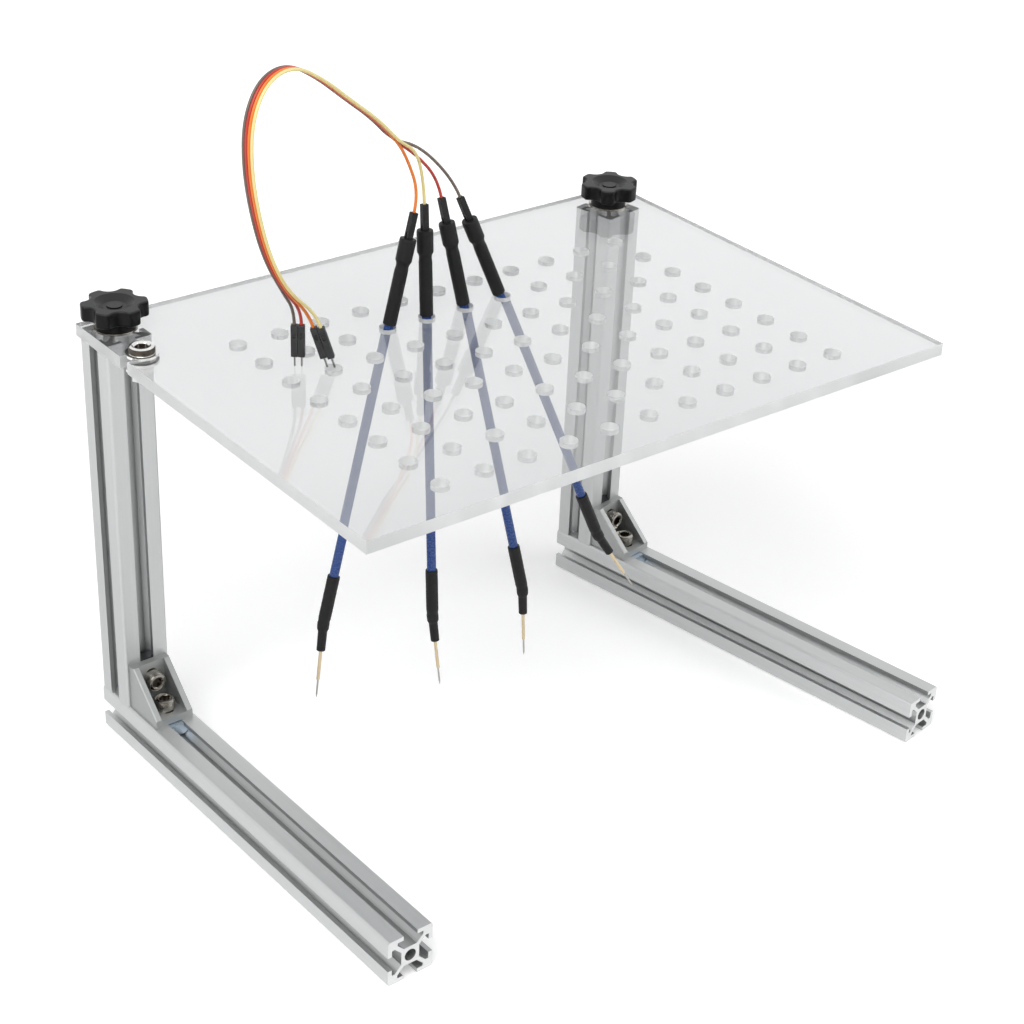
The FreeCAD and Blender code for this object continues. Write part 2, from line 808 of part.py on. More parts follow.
def probe(number):
    """A stiff tube with a wired socket on top and a sprung needle below."""
    place = probe_axis(number)
    bend = kink_place(number)
    longer = PROBES[number - 1][-2]
    name = f"probe_{number}"
    wide = "tube_diameter / 2"
    narrow = "upper_sleeve_diameter / 2"
    cuff = "cuff_diameter / 2"
    top = "upper_sleeve_height + cuff_height"
    sunk = f"{top} - socket_sunk"
    shoulder = f"-tube_drop - {longer}"
    tube_end = f"{shoulder} - lower_sleeve_cover"
    straight_pieces = {
        "tube": [
            ("tube_bore / 2", tube_end),
            (wide, tube_end),
            (wide, "upper_sleeve_height"),
            ("tube_bore / 2", "upper_sleeve_height"),
        ],
        "core": [
            ("0", f"{shoulder} - kink_place"),
            ("core_diameter / 2", f"{shoulder} - kink_place"),
            ("core_diameter / 2", sunk),
            ("0", sunk),
        ],
    }
    low = "kink_place - lower_sleeve_length"
    barrel_end = f"{low} - barrel_showing"
    needle_top = f"{barrel_end} + needle_hidden"
    needle_end = f"{barrel_end} - needle_showing"
    bore = "needle_diameter / 2 + needle_play"
    bore_top = f"{needle_top} + needle_travel + overshoot"
    bent_pieces = {
        "barrel": [
            (bore, barrel_end),
            ("barrel_diameter / 2", barrel_end),
            ("barrel_diameter / 2", "-barrel_top_gap"),
            ("0", "-barrel_top_gap"),
            ("0", bore_top),
            (bore, bore_top),
        ],
        "needle": [
            ("0", needle_end),
            ("needle_diameter / 2", f"{needle_end} + needle_point"),
            ("needle_diameter / 2", needle_top),
            ("0", needle_top),
        ],
    }
    for piece, half_outline in straight_pieces.items():
        keep(f"{name}_{piece}", turned(f"{name}_{piece}", half_outline)).Placement = place
    for piece, half_outline in bent_pieces.items():
        spot = place.multiply(bend)
        keep(f"{name}_{piece}", turned(f"{name}_{piece}", half_outline)).Placement = spot
    lower_sleeve(name, shoulder, bend).Placement = place
    sleeve = turned(
        f"{name}_upper_sleeve",
        [
            (wide, "0"),
            (narrow, "0"),
            (narrow, "upper_sleeve_height"),
            (cuff, "upper_sleeve_height + cuff_taper"),
            (cuff, f"{top} - cuff_mouth_taper"),
            ("socket_side / 2 + cuff_mouth_wall", top),
            ("0", top),
            ("0", sunk),
            ("core_diameter / 2", sunk),
            ("core_diameter / 2", "upper_sleeve_height"),
            (wide, "upper_sleeve_height"),
        ],
    )
    pit = sketch_on(sleeve, "XY_Plane", "SocketPit", {"z": sunk})
    box_outline(pit, "socket_side", "socket_side")
    pocket(sleeve, pit, "SocketSeat", "socket_sunk + overshoot", back=True)
    keep(f"{name}_upper_sleeve", sleeve).Placement = place
    socket = block(f"{name}_shell", "socket_side", "socket_side", "socket_length", sunk)
    carried(f"{name}_socket", socket).Placement = place


def lower_sleeve(name, shoulder, bend):
    """Shrink sleeve over the tube's end and the needle barrel, bent where the tube ends."""
    below = size("lower_sleeve_length - kink_place")
    foot = bend.multVec(Vector(0, 0, -below))
    points = [Vector(0, 0, size(shoulder)), bend.Base, foot]
    skin = swept(f"{name}_skin", points, "lower_sleeve_diameter")
    over_tube = cylinder(
        f"{name}_tube_room",
        "tube_diameter",
        "lower_sleeve_cover + overshoot",
        f"{shoulder} - lower_sleeve_cover",
    )
    over_core = cylinder(
        f"{name}_core_room", "core_diameter", "lower_sleeve_length", f"{shoulder} - kink_place"
    )
    over_barrel = cylinder(
        f"{name}_barrel_bore",
        "barrel_diameter",
        "lower_sleeve_length",
        "-barrel_top_gap - lower_sleeve_length",
    )
    barrel_room = placed(f"{name}_barrel_room", over_barrel, bend)
    rooms = fuse(f"{name}_rooms", [over_tube, over_core, barrel_room])
    return keep(f"{name}_lower_sleeve", cut(f"{name}_lower_sleeve", skin, rooms))


# Flat lead

# route of the flat lead in its own upright plane: reach along the plane, and height
LEAD_ROUTE = [
    (-15.0, 219.0),
    (-24.0, 234.0),
    (-30.0, 252.0),
    (-33.5, 271.0),
    (-32.5, 288.0),
    (-24.5, 299.5),
    (-11.0, 301.5),
    (4.0, 293.0),
    (19.0, 281.5),
    (34.0, 270.5),
    (46.0, 259.0),
]
LEAD_ORIGIN = Vector(-88.9, 21.6, 0)
LEAD_HEADING = 16.0

# wire colour, the probe it serves, its place across the lead, and the bend before the socket
WIRES = [
    ("brown", 4, 1.5, Vector(-29.0, 40.5, 252.0)),
    ("red", 3, 0.5, Vector(-32.5, 38.0, 250.0)),
    ("orange", 1, -0.5, Vector(-38.5, 35.6, 250.5)),
    ("yellow", 2, -1.5, Vector(-34.5, 35.2, 253.0)),
]


def lead_point(reach, height, across):
    """A point of the lead, moved across it by a number of wire pitches."""
    heading = math.radians(LEAD_HEADING)
    along = Vector(math.cos(heading), math.sin(heading), 0)
    side = Vector(-math.sin(heading), math.cos(heading), 0)
    point = LEAD_ORIGIN + along * reach + side * (across * size("wire_pitch"))
    return Vector(point.x, point.y, height)


def end_seat(order):
    """A loose end's place, counted from the left: zero where its pin stands on the plate."""
    lean = size("end_pair_lean") if order > 1 else 0
    slope = math.radians(lean)
    reach = size("end_pitch") * order
    if order > 1:
        reach = size("end_pair_gap") + size("end_pitch") * (order - 2) / math.cos(slope)
    heading = math.radians(size("end_heading"))
    spot = Vector(
        size("end_place_x") + math.cos(heading) * reach,
        size("end_place_y") + math.sin(heading) * reach,
        size("profile_side + upright_height + plate_thickness")
        + size("end_pin_side / 2") * math.sin(slope),
    )
    turn_round = Rotation(Vector(0, 0, 1), size("end_heading"))
    return Placement(spot, turn_round.multiply(Rotation(Vector(0, 1, 0), -lean)))


def wire_route(order):
    """Points of one wire from its loose end's housing to its probe's socket."""
    _, number, across, bend = WIRES[order]
    top = size("end_pin_length + end_housing_length")
    start = end_seat(order).multVec(Vector(0, 0, top))
    risen = end_seat(order).multVec(Vector(0, 0, top + size("wire_rise")))
    finish, up = socket_top(number)
    points = [start, risen]
    points += [lead_point(reach, height, across) for reach, height in LEAD_ROUTE]
    points += [bend, finish + up * size("wire_entry"), finish]
    return points


# the share of a run that its bend takes up, less than half so that two bends never meet
BEND_SHARE = 0.45


def tube_path(points, node):
    """Straight runs joined by tangent arcs, each as large as its two runs allow."""
    edges = []
    last = points[0]
    radii = []
    for before, corner, after in zip(points, points[1:], points[2:]):
        back = (before - corner).normalize()
        ahead = (after - corner).normalize()
        half_turn = (math.pi - back.getAngle(ahead)) / 2
        setback = BEND_SHARE * min((before - corner).Length, (after - corner).Length)
        radius = setback / math.tan(half_turn)
        radii.append(radius)
        enter = corner + back * setback
        leave = corner + ahead * setback
        bisector = (back + ahead).normalize()
        middle = corner + bisector * (radius / math.cos(half_turn) - radius)
        edges.append(Part.LineSegment(last, enter).toShape())
        edges.append(Part.Arc(enter, middle, leave).toShape())
        last = leave
    edges.append(Part.LineSegment(last, points[-1]).toShape())
    path = Part.Wire(edges)
    print(node, "length", round(path.Length, 1), "tightest bend", round(min(radii), 1))
    return path


def swept(node, points, diameter):
    """A round section along a route of runs and bends."""
    path = tube_path(points, node)
    radius = size(diameter) / 2
    ring = Part.Wire([Part.Circle(points[0], points[1] - points[0], radius).toShape()])
    item = DOC.addObject("Part::Feature", node)
    item.Shape = path.makePipeShell([ring], True, False)
    true_volume = math.pi * radius**2 * path.Length
    print(node, "volume ratio", round(item.Shape.Volume / true_volume, 4))
    return item


def wire(order):
    """One conductor of the lead with its cover."""
    node = f"wire_{WIRES[order][0]}"
    keep(node, swept(node, wire_route(order), "wire_diameter"))


def loose_ends():
    """A housing for each wire, standing on its pin. The four pins are one sub-part."""
    pins = []
    for order, (colour, *_) in enumerate(WIRES):
        seat = end_seat(order)
        thick = "socket_side"
        shell = block(f"end_shell_{order}", thick, thick, "end_housing_length", "end_pin_length")
        thin = "end_pin_side"
        slot = block(f"end_slot_{order}", thin, thin, "end_pin_sunk", "end_pin_length")
        housing = keep(f"end_housing_{colour}", cut(f"end_housing_{colour}", shell, slot))
        housing.Placement = seat
        post = block(f"end_post_{order}", thin, thin, "end_pin_length + end_pin_sunk")
        pins.append(placed(f"end_pin_{order}", post, seat))
    group("end_pins", pins)


def build():
    for side in ("left", "right"):
        leg_rails(side)
        corner_bracket(side)
        bracket_screws(side)
        slot_nuts(side)
        star_knob(side)
    probe_plate()
    clamp_set()
    for number in range(1, len(PROBES) + 1):
        probe(number)
    for order in range(len(WIRES)):
        wire(order)
    loose_ends()


def check():
    """Stops the script if any object failed or any sub-part's shape isn't sound."""
    DOC.recompute()
    for item in DOC.Objects:
        if "Invalid" in item.State or "Error" in item.State:
            raise RuntimeError(f"{item.Label} failed: {item.State}")
    for node, item in NODES.items():
        if item.Shape.isNull() or not item.Shape.isValid() or not item.Shape.Solids:
            raise RuntimeError(f"{node} has no sound shape")


def write():
    os.makedirs("parts", exist_ok=True)
    for node, item in NODES.items():
        item.Shape.exportStep(f"parts/{node}.step")
        print(node, len(item.Shape.Solids), round(item.Shape.Volume, 2))
    whole = FreeCAD.BoundBox()
    for item in NODES.values():
        whole.add(item.Shape.BoundBox)
    print("nodes", len(NODES), "box", whole)


build()
check()
write()
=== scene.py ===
# %% [markdown]
# # A bench frame that holds needle probes
#
# The object is a clear acrylic plate with a grid of holes, lying on two L-shaped legs of
# slotted aluminium profile. Two black star knobs clamp it. Four probes hang in the holes:
# a blue tube, black shrink sleeves, and a needle in a gold barrel. A flat lead of four
# coloured wires rises from their sockets and comes down to two pairs of pin housings on
# the plate.
#
# The engineering model is loaded as a fixed frame. Everything here dresses that frame:
# it gives each piece its finish and swaps plain pieces for finer ones in the same place.

# %% Load the frame
import json
import math
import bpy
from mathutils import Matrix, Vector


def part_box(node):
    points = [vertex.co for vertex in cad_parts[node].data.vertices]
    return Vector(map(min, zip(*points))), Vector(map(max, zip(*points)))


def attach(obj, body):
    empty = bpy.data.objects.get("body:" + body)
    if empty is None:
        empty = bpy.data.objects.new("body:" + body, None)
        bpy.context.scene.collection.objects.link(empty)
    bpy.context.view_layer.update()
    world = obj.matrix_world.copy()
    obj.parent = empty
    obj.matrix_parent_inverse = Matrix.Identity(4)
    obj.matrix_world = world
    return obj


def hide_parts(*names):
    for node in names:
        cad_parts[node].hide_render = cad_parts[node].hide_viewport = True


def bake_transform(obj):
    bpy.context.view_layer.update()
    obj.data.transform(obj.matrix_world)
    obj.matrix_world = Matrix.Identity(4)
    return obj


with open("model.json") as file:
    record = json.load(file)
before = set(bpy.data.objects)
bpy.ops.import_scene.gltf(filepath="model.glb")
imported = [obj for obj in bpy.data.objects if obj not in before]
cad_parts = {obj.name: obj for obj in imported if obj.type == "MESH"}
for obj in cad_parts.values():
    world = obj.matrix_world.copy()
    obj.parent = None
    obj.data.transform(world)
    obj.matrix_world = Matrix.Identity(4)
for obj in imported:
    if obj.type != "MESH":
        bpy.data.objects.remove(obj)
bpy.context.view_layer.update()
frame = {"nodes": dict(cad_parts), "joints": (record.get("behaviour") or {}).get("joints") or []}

from types import SimpleNamespace

import bmesh
import bpy
from mathutils import Matrix, Vector

NODES = frame["nodes"]
MM = 0.001
SEED = 7


def box_middle(node):
    """The middle of a node's box at rest."""
    low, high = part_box(node)
    return (Vector(low) + Vector(high)) / 2


def joint_axis(name):
    """The unit axis of a joint."""
    return Vector([joint["axis"] for joint in frame["joints"] if joint["name"] == name][0])


# %% [markdown]
# ## The camera
#
# A photograph fixes where the camera stood. Its place and angles were worked out from the
# corners of the plate, the ends of the feet and the grid of holes, whose real sizes are
# known. A camera with the same focal length at the same place then sees the same picture,
# so that every piece can be compared with the photograph point by point.

# %% Camera
CAMERA_PLACE = Vector((-0.4774, -0.5799, 0.5337))
CAMERA_AZIMUTH = -0.6782
CAMERA_HEIGHT_ANGLE = 0.5194
CAMERA_ROLL = 0.0439
CAMERA_LENS = 75.7
SENSOR = 36.0


def camera_axes(azimuth, height, roll):
    """Right, up and backward directions of a camera that looks at the object."""
    level = math.cos(height)
    back = Vector((math.sin(azimuth) * level, -math.cos(azimuth) * level, math.sin(height)))
    right = Vector((math.cos(azimuth), math.sin(azimuth), 0))
    up = back.cross(right)
    turn = Matrix.Rotation(roll, 3, back)
    return turn @ right, turn @ up, back


right, up, back = camera_axes(CAMERA_AZIMUTH, CAMERA_HEIGHT_ANGLE, CAMERA_ROLL)
camera_data = bpy.data.cameras.new("camera")
camera_data.lens = CAMERA_LENS
camera_data.sensor_width = SENSOR
camera_data.clip_start = 0.01
camera = bpy.data.objects.new("camera", camera_data)
camera_turn = Matrix((right, up, back)).transposed().to_4x4()
camera.matrix_world = Matrix.Translation(CAMERA_PLACE) @ camera_turn
bpy.context.collection.objects.link(camera)
bpy.context.scene.camera = camera
bpy.context.scene.view_settings.view_transform = "Standard"
print("camera at", [round(value, 3) for value in CAMERA_PLACE], "lens", CAMERA_LENS)

# %% [markdown]
# ## Tools for pieces that repeat or follow a path
#
# Geometry Nodes suit ribs, threads, wires and sleeves: one small tree makes the shape, and
# its named inputs are the numbers that a designer would want to change. Each tree ends by
# making its copies real and giving them a material. The result is then kept as a plain mesh,
# so that the finished piece needs no modifier. Two small helpers, for a sum and for a range,
# serve these trees and later the materials.

# %% Helpers for node trees
FLOAT = "NodeSocketFloat"
VECTOR = "NodeSocketVector"
WHOLE = "NodeSocketInt"
FINISH = "NodeSocketMaterial"
SHARP_ABOVE = math.radians(35)


def new_tree(name, inputs):
    """An empty geometry tree with named inputs, its first and last node."""
    tree = bpy.data.node_groups.new(name, "GeometryNodeTree")
    tree.interface.new_socket("Geometry", in_out="INPUT", socket_type="NodeSocketGeometry")
    for label, kind, value in inputs:
        socket = tree.interface.new_socket(label, in_out="INPUT", socket_type=kind)
        if value is not None:
            socket.default_value = value
    tree.interface.new_socket("Geometry", in_out="OUTPUT", socket_type="NodeSocketGeometry")
    return tree, tree.nodes.new("NodeGroupInput"), tree.nodes.new("NodeGroupOutput")


def finish_tree(tree, start, end, shape):
    """Ends a tree: smooth faces, real copies, and the material from its input."""
    smooth = tree.nodes.new("GeometryNodeSetShadeSmooth")
    real = tree.nodes.new("GeometryNodeRealizeInstances")
    dress_up = tree.nodes.new("GeometryNodeSetMaterial")
    tree.links.new(shape, smooth.inputs["Geometry"])
    tree.links.new(smooth.outputs[0], real.inputs["Geometry"])
    tree.links.new(real.outputs[0], dress_up.inputs["Geometry"])
    tree.links.new(start.outputs["Material"], dress_up.inputs["Material"])
    tree.links.new(dress_up.outputs[0], end.inputs["Geometry"])


def run_tree(source, tree, name, **values):
    """Runs a tree on an object and keeps what it makes as a plain mesh object."""
    modifier = source.modifiers.new("tree", "NODES")
    modifier.node_group = tree
    sockets = {
        item.name: item.identifier
        for item in tree.interface.items_tree
        if item.item_type == "SOCKET" and item.in_out == "INPUT"
    }
    for label, value in values.items():
        modifier[sockets[label.replace("_", " ").title()]] = value
    bpy.context.view_layer.update()
    graph = bpy.context.evaluated_depsgraph_get()
    mesh = bpy.data.meshes.new_from_object(source.evaluated_get(graph))
    mesh.set_sharp_from_angle(angle=SHARP_ABOVE)
    source.modifiers.remove(modifier)
    bpy.data.objects.remove(source)
    return new_object(name, mesh)


def new_object(name, data):
    """An object at the origin, linked to the scene."""
    made = bpy.data.objects.new(name, data)
    bpy.context.collection.objects.link(made)
    return made


def add_nodes(tree, **kinds):
    """New nodes of a tree under short names."""
    return SimpleNamespace(**{label: tree.nodes.new(kind) for label, kind in kinds.items()})


def maths(tree, operation, *values):
    """The output of a Math node. Each value is a number or another node's output."""
    node = tree.nodes.new("ShaderNodeMath")
    node.operation = operation
    for value, socket in zip(values, node.inputs):
        if isinstance(value, (int, float)):
            socket.default_value = value
        else:
            tree.links.new(value, socket)
    return node.outputs[0]


def map_range(tree, source, reach=(0, 1), result=(0, 1)):
    """A Map Range node that turns the range called reach into the one called result."""
    node = tree.nodes.new("ShaderNodeMapRange")
    node.inputs["From Min"].default_value, node.inputs["From Max"].default_value = reach
    node.inputs["To Min"].default_value, node.inputs["To Max"].default_value = result
    tree.links.new(source, node.inputs["Value"])
    return node


def tube_tree():
    """A round tube of one diameter along a curve, with closed ends."""
    tree, start, end = new_tree(
        "round_wire",
        [
            ("Diameter", FLOAT, 0.001),
            ("Sides", WHOLE, 16),
            ("Material", FINISH, None),
        ],
    )
    nodes, link = tree.nodes, tree.links.new
    ring = nodes.new("GeometryNodeCurvePrimitiveCircle")
    half = maths(tree, "MULTIPLY", start.outputs["Diameter"], 0.5)
    sweep = nodes.new("GeometryNodeCurveToMesh")
    sweep.inputs["Fill Caps"].default_value = True
    link(half, ring.inputs["Radius"])
    link(start.outputs["Sides"], ring.inputs["Resolution"])
    link(start.outputs["Geometry"], sweep.inputs["Curve"])
    link(ring.outputs["Curve"], sweep.inputs["Profile Curve"])
    finish_tree(tree, start, end, sweep.outputs["Mesh"])
    return tree


ROUND_WIRE = tube_tree()
print("tree:", ROUND_WIRE.name)

# %% [markdown]
# ## Where each probe stands
#
# A probe is a straight stick that leans in its hole. All its pieces share one axis, so one
# small frame per probe places them all: its zero is the foot of the upper shrink sleeve, and
# its Z runs up the probe. The frame comes from the model's joint and the tube's box.

# %% Probe frames
TUBE_DIAMETER = 3.8 * MM
TUBE_ABOVE = 24 * MM
TUBE_IN_HOLDER = 20 * MM
SOCKET_LENGTH = 14 * MM
PROBES = range(1, 5)


def probe_axis(number):
    """The way that a probe slides, up its own length."""
    return joint_axis(f"probe_{number}_slide").normalized()


def tube_length(number):
    """A leaning tube's length, from the height of its box."""
    axis = probe_axis(number)
    low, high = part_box(f"probe_{number}_tube")
    return (high.z - low.z - TUBE_DIAMETER * math.hypot(axis.x, axis.y)) / axis.z


def probe_frame(number):
    """A matrix that puts a piece, made upright at the origin, on a probe."""
    axis = probe_axis(number)
    zero = box_middle(f"probe_{number}_tube") + axis * (tube_length(number) / 2 - TUBE_ABOVE)
    turn = Vector((0, 0, 1)).rotation_difference(axis).to_matrix().to_4x4()
    return Matrix.Translation(zero) @ turn


def socket_top(number):
    """The middle of a probe socket's upper end, and the way that the probe points there."""
    axis = probe_axis(number)
    return box_middle(f"probe_{number}_socket") + axis * (SOCKET_LENGTH / 2), axis


PROBE_FRAMES = {number: probe_frame(number) for number in PROBES}
for number, place in PROBE_FRAMES.items():
    print("probe", number, "zero at", [round(value, 4) for value in place.translation])

# %% [markdown]
# ## The flat lead
#
# Four insulated wires lie side by side as a stiff ribbon. It bows up and over in a loop,
# then the wires part, one to each probe. A NURBS curve suits a wire: its control points
# are the route's points, and its line is smooth with no corners. The four share one list of
# points, each moved sideways by its place in the ribbon, so that they stay parallel. At the
# other end stand two pairs of pin housings, one pair upright and one leaning.

# %% Wires
WIRE_DIAMETER = 1.2 * MM
WIRE_PITCH = 1.3
# reach along the lead's heading and height, in millimetres, from the housings to the probes
LEAD_ROUTE = [
    (-15.0, 219.0), (-24.0, 234.0), (-30.0, 252.0), (-33.5, 271.0), (-32.5, 288.0),
    (-24.5, 299.5), (-11.0, 301.5), (4.0, 293.0), (19.0, 281.5), (34.0, 270.5), (46.0, 259.0),
]
LEAD_ORIGIN = Vector((-88.9, 21.6, 0))
LEAD_HEADING = math.radians(16)
RISE_FROM_HOUSING = 6.0
RISE_TO_SOCKET = 8.0
HOUSING_LENGTH = 12.5 * MM
HOUSING_HEADING = math.radians(-39)
LEANING_PAIR = {"orange": math.radians(-18), "yellow": math.radians(-18)}
# wire colour: the probe it serves, its place across the lead, the bend before the socket
WIRES = {
    "brown": (4, 1.5, (-29.0, 40.5, 252.0)),
    "red": (3, 0.5, (-32.5, 38.0, 250.0)),
    "orange": (1, -0.5, (-38.5, 35.6, 250.5)),
    "yellow": (2, -1.5, (-34.5, 35.2, 253.0)),
}


def lead_point(reach, height, across):
    """A point of the lead in millimetres, moved across it by a number of wire pitches."""
    along = Vector((math.cos(LEAD_HEADING), math.sin(LEAD_HEADING), 0))
    side = Vector((-math.sin(LEAD_HEADING), math.cos(LEAD_HEADING), 0))
    point = LEAD_ORIGIN + along * reach + side * (across * WIRE_PITCH)
    return Vector((point.x, point.y, height))


def housing_frame(colour):
    """A matrix with its zero in the middle of a pin housing, its Z up the housing."""
    turn = Matrix.Rotation(HOUSING_HEADING, 4, "Z")
    lean = Matrix.Rotation(LEANING_PAIR.get(colour, 0.0), 4, "Y")
    return Matrix.Translation(box_middle(f"end_housing_{colour}")) @ turn @ lean


def wire_route(colour):
    """Control points of one wire in millimetres, from its housing to its socket."""
    number, across, bend = WIRES[colour]
    place = housing_frame(colour)
    start = place @ Vector((0, 0, HOUSING_LENGTH / 2)) / MM
    risen = start + place.to_3x3() @ Vector((0, 0, RISE_FROM_HOUSING))
    finish, axis = socket_top(number)
    route = [start, risen]
    route += [lead_point(reach, height, across) for reach, height in LEAD_ROUTE]
    route += [Vector(bend), finish / MM + axis * RISE_TO_SOCKET, finish / MM]
    return route


def route_curve(name, route):
    """A bare NURBS curve with the route's points as its control points."""
    data = bpy.data.curves.new(name, "CURVE")
    data.dimensions = "3D"
    spline = data.splines.new("NURBS")
    spline.points.add(len(route) - 1)
    for point, place in zip(spline.points, route):
        point.co = (*(place * MM), 1)
    spline.order_u = 3
    spline.use_endpoint_u = True
    spline.resolution_u = 12
    return new_object(name, data)


def line_points(curve):
    """Points along a bare curve, in order."""
    mesh = bpy.data.meshes.new_from_object(curve)
    places = [vertex.co.copy() for vertex in mesh.vertices]
    bpy.data.meshes.remove(mesh)
    return places


wires = {}
wire_lines = {}
for colour in WIRES:
    curve = route_curve(f"route_{colour}", wire_route(colour))
    wire_lines[colour] = line_points(curve)
    wires[colour] = run_tree(curve, ROUND_WIRE, f"lead_{colour}", diameter=WIRE_DIAMETER, sides=14)
    steps = zip(wire_lines[colour], wire_lines[colour][1:])
    sum((after - before).length for before, after in steps)

# %% [markdown]
# ## Floor and light
#
# The photograph is a studio shot on white: wide soft lamps, a bright floor, faint shadows.
# A large floor catches the shadow, and two big area lamps give the long soft highlights on
# the aluminium. The world is pale for the camera and for mirror and glass rays, so that
# metal and acrylic show a bright room, and dimmer for the light that it casts. Round the
# object the floor glows faintly, so that its shadow stays, and further out it turns white.

# %% Floor, world and lamps
FLOOR_SIZE = 6.0
FLOOR_DROP = 0.0002
FLOOR_GLOW = (0.28, 1.0)
GLOW_REACH = (0.35, 1.4)
WORLD_STRENGTH = (0.55, 1.0)
LAMP_AIM = (0, 0, 0.1)


def material(name):
    """A new node material and its Principled shader."""
    made = bpy.data.materials.new(name)
    made.use_nodes = True
    return made, made.node_tree.nodes["Principled BSDF"]


def floor_plane():
    """A large flat square a hair below the feet."""
    mesh = bpy.data.meshes.new("floor")
    half = FLOOR_SIZE / 2
    corners = [(-half, -half), (half, -half), (half, half), (-half, half)]
    corners = [(x, y, -FLOOR_DROP) for x, y in corners]
    mesh.from_pydata(corners, [], [(0, 1, 2, 3)])
    return new_object("floor", mesh)


def seeing_ray(tree):
    """1 for camera, mirror and glass rays, 0 for the light that a surface casts."""
    rays = tree.nodes.new("ShaderNodeLightPath").outputs
    seen = maths(tree, "MAXIMUM", rays["Is Camera Ray"], rays["Is Glossy Ray"])
    return maths(tree, "MAXIMUM", seen, rays["Is Transmission Ray"])


def floor_material():
    """Matt white paper that keeps the object's shadow and grows white with distance."""
    made, shader = material("studio_paper")
    shader.inputs["Base Color"].default_value = (0.86, 0.86, 0.86, 1)
    shader.inputs["Roughness"].default_value = 0.9
    tree = made.node_tree
    place = tree.nodes.new("ShaderNodeTexCoord")
    away = tree.nodes.new("ShaderNodeVectorMath")
    away.operation = "LENGTH"
    tree.links.new(place.outputs["Object"], away.inputs[0])
    glow = map_range(tree, away.outputs["Value"], GLOW_REACH, FLOOR_GLOW)
    strength = maths(tree, "MULTIPLY", seeing_ray(tree), glow.outputs[0])
    shader.inputs["Emission Color"].default_value = (1, 1, 1, 1)
    tree.links.new(strength, shader.inputs["Emission Strength"])
    return made


def world_light():
    """A pale world: full strength where it is seen, weaker where it only lights."""
    world = bpy.data.worlds.new("studio")
    world.use_nodes = True
    bpy.context.scene.world = world
    tree = world.node_tree
    background = tree.nodes["Background"]
    background.inputs["Color"].default_value = (1, 1, 1, 1)
    spread = map_range(tree, seeing_ray(tree), result=WORLD_STRENGTH)
    tree.links.new(spread.outputs[0], background.inputs["Strength"])


def soft_lamp(name, place, aim, size, power):
    """A square area lamp that looks at a point."""
    data = bpy.data.lights.new(name, "AREA")
    data.shape = "RECTANGLE"
    data.size, data.size_y = size
    data.energy = power
    lamp = bpy.data.objects.new(name, data)
    direction = Vector(aim) - Vector(place)
    turn = direction.to_track_quat("-Z", "Y").to_matrix().to_4x4()
    lamp.matrix_world = Matrix.Translation(place) @ turn
    bpy.context.collection.objects.link(lamp)
    return lamp


floor = floor_plane()
floor.data.materials.append(floor_material())
world_light()
soft_lamp("key_lamp", (-0.9, -0.5, 1.3), LAMP_AIM, (1.0, 1.0), 16)
soft_lamp("fill_lamp", (1.0, -0.9, 0.9), LAMP_AIM, (1.2, 0.8), 6)

# %% [markdown]
# ## Shared surface effects
#
# Real surfaces are never one flat value. Three small node groups give that variation, and
# each material places them with its own numbers. `drawn_grain` makes long streaks along one
# axis, as on extruded metal. `fine_grit` makes an even, tiny roughness, as on blasted or
# moulded parts. `soft_patches` makes slow, faint changes, as of handling and dust.

# %% Node groups
NOISE_REACH = (0.3, 0.7)


def new_group(name, inputs, outputs):
    """An empty shader group with named sockets."""
    group = bpy.data.node_groups.new(name, "ShaderNodeTree")
    for label, kind, value in inputs:
        socket = group.interface.new_socket(label, in_out="INPUT", socket_type=kind)
        if value is not None:
            socket.default_value = value
    for label, kind in outputs:
        group.interface.new_socket(label, in_out="OUTPUT", socket_type=kind)
    start = group.nodes.new("NodeGroupInput")
    end = group.nodes.new("NodeGroupOutput")
    return group, start, end


def noise_group(name, detail):
    """Noise on Object coordinates stretched by a Scale vector, mapped to Low and High."""
    group, start, end = new_group(
        name,
        [
            ("Scale", VECTOR, (1, 1, 1)),
            ("Turn", FLOAT, 0.0),
            ("Low", FLOAT, 0.0),
            ("High", FLOAT, 1.0),
        ],
        [("Value", FLOAT), ("Mask", FLOAT)],
    )
    nodes, link = group.nodes, group.links.new
    place = nodes.new("ShaderNodeTexCoord")
    turn = nodes.new("ShaderNodeVectorRotate")
    turn.rotation_type = "Z_AXIS"
    link(place.outputs["Object"], turn.inputs["Vector"])
    link(start.outputs["Turn"], turn.inputs["Angle"])
    stretch = nodes.new("ShaderNodeVectorMath")
    stretch.operation = "MULTIPLY"
    link(turn.outputs["Vector"], stretch.inputs[0])
    link(start.outputs["Scale"], stretch.inputs[1])
    noise = nodes.new("ShaderNodeTexNoise")
    noise.inputs["Scale"].default_value = 1.0
    noise.inputs["Detail"].default_value = detail
    link(stretch.outputs[0], noise.inputs["Vector"])
    spread = map_range(group, noise.outputs["Fac"], NOISE_REACH)
    link(start.outputs["Low"], spread.inputs["To Min"])
    link(start.outputs["High"], spread.inputs["To Max"])
    link(spread.outputs[0], end.inputs["Value"])
    link(noise.outputs["Fac"], end.inputs["Mask"])
    return group


GRAIN = noise_group("drawn_grain", 4.0)
GRIT = noise_group("fine_grit", 2.0)
PATCHES = noise_group("soft_patches", 3.0)
print("node groups:", [group.name for group in (GRAIN, GRIT, PATCHES)])


def place_group(tree, group, scale, low=0.0, high=1.0, turn=0.0):
    """A group node with its values set."""
    node = tree.nodes.new("ShaderNodeGroup")
    node.node_tree = group
    node.inputs["Scale"].default_value = scale
    node.inputs["Turn"].default_value = turn
    node.inputs["Low"].default_value = low
    node.inputs["High"].default_value = high
    return node


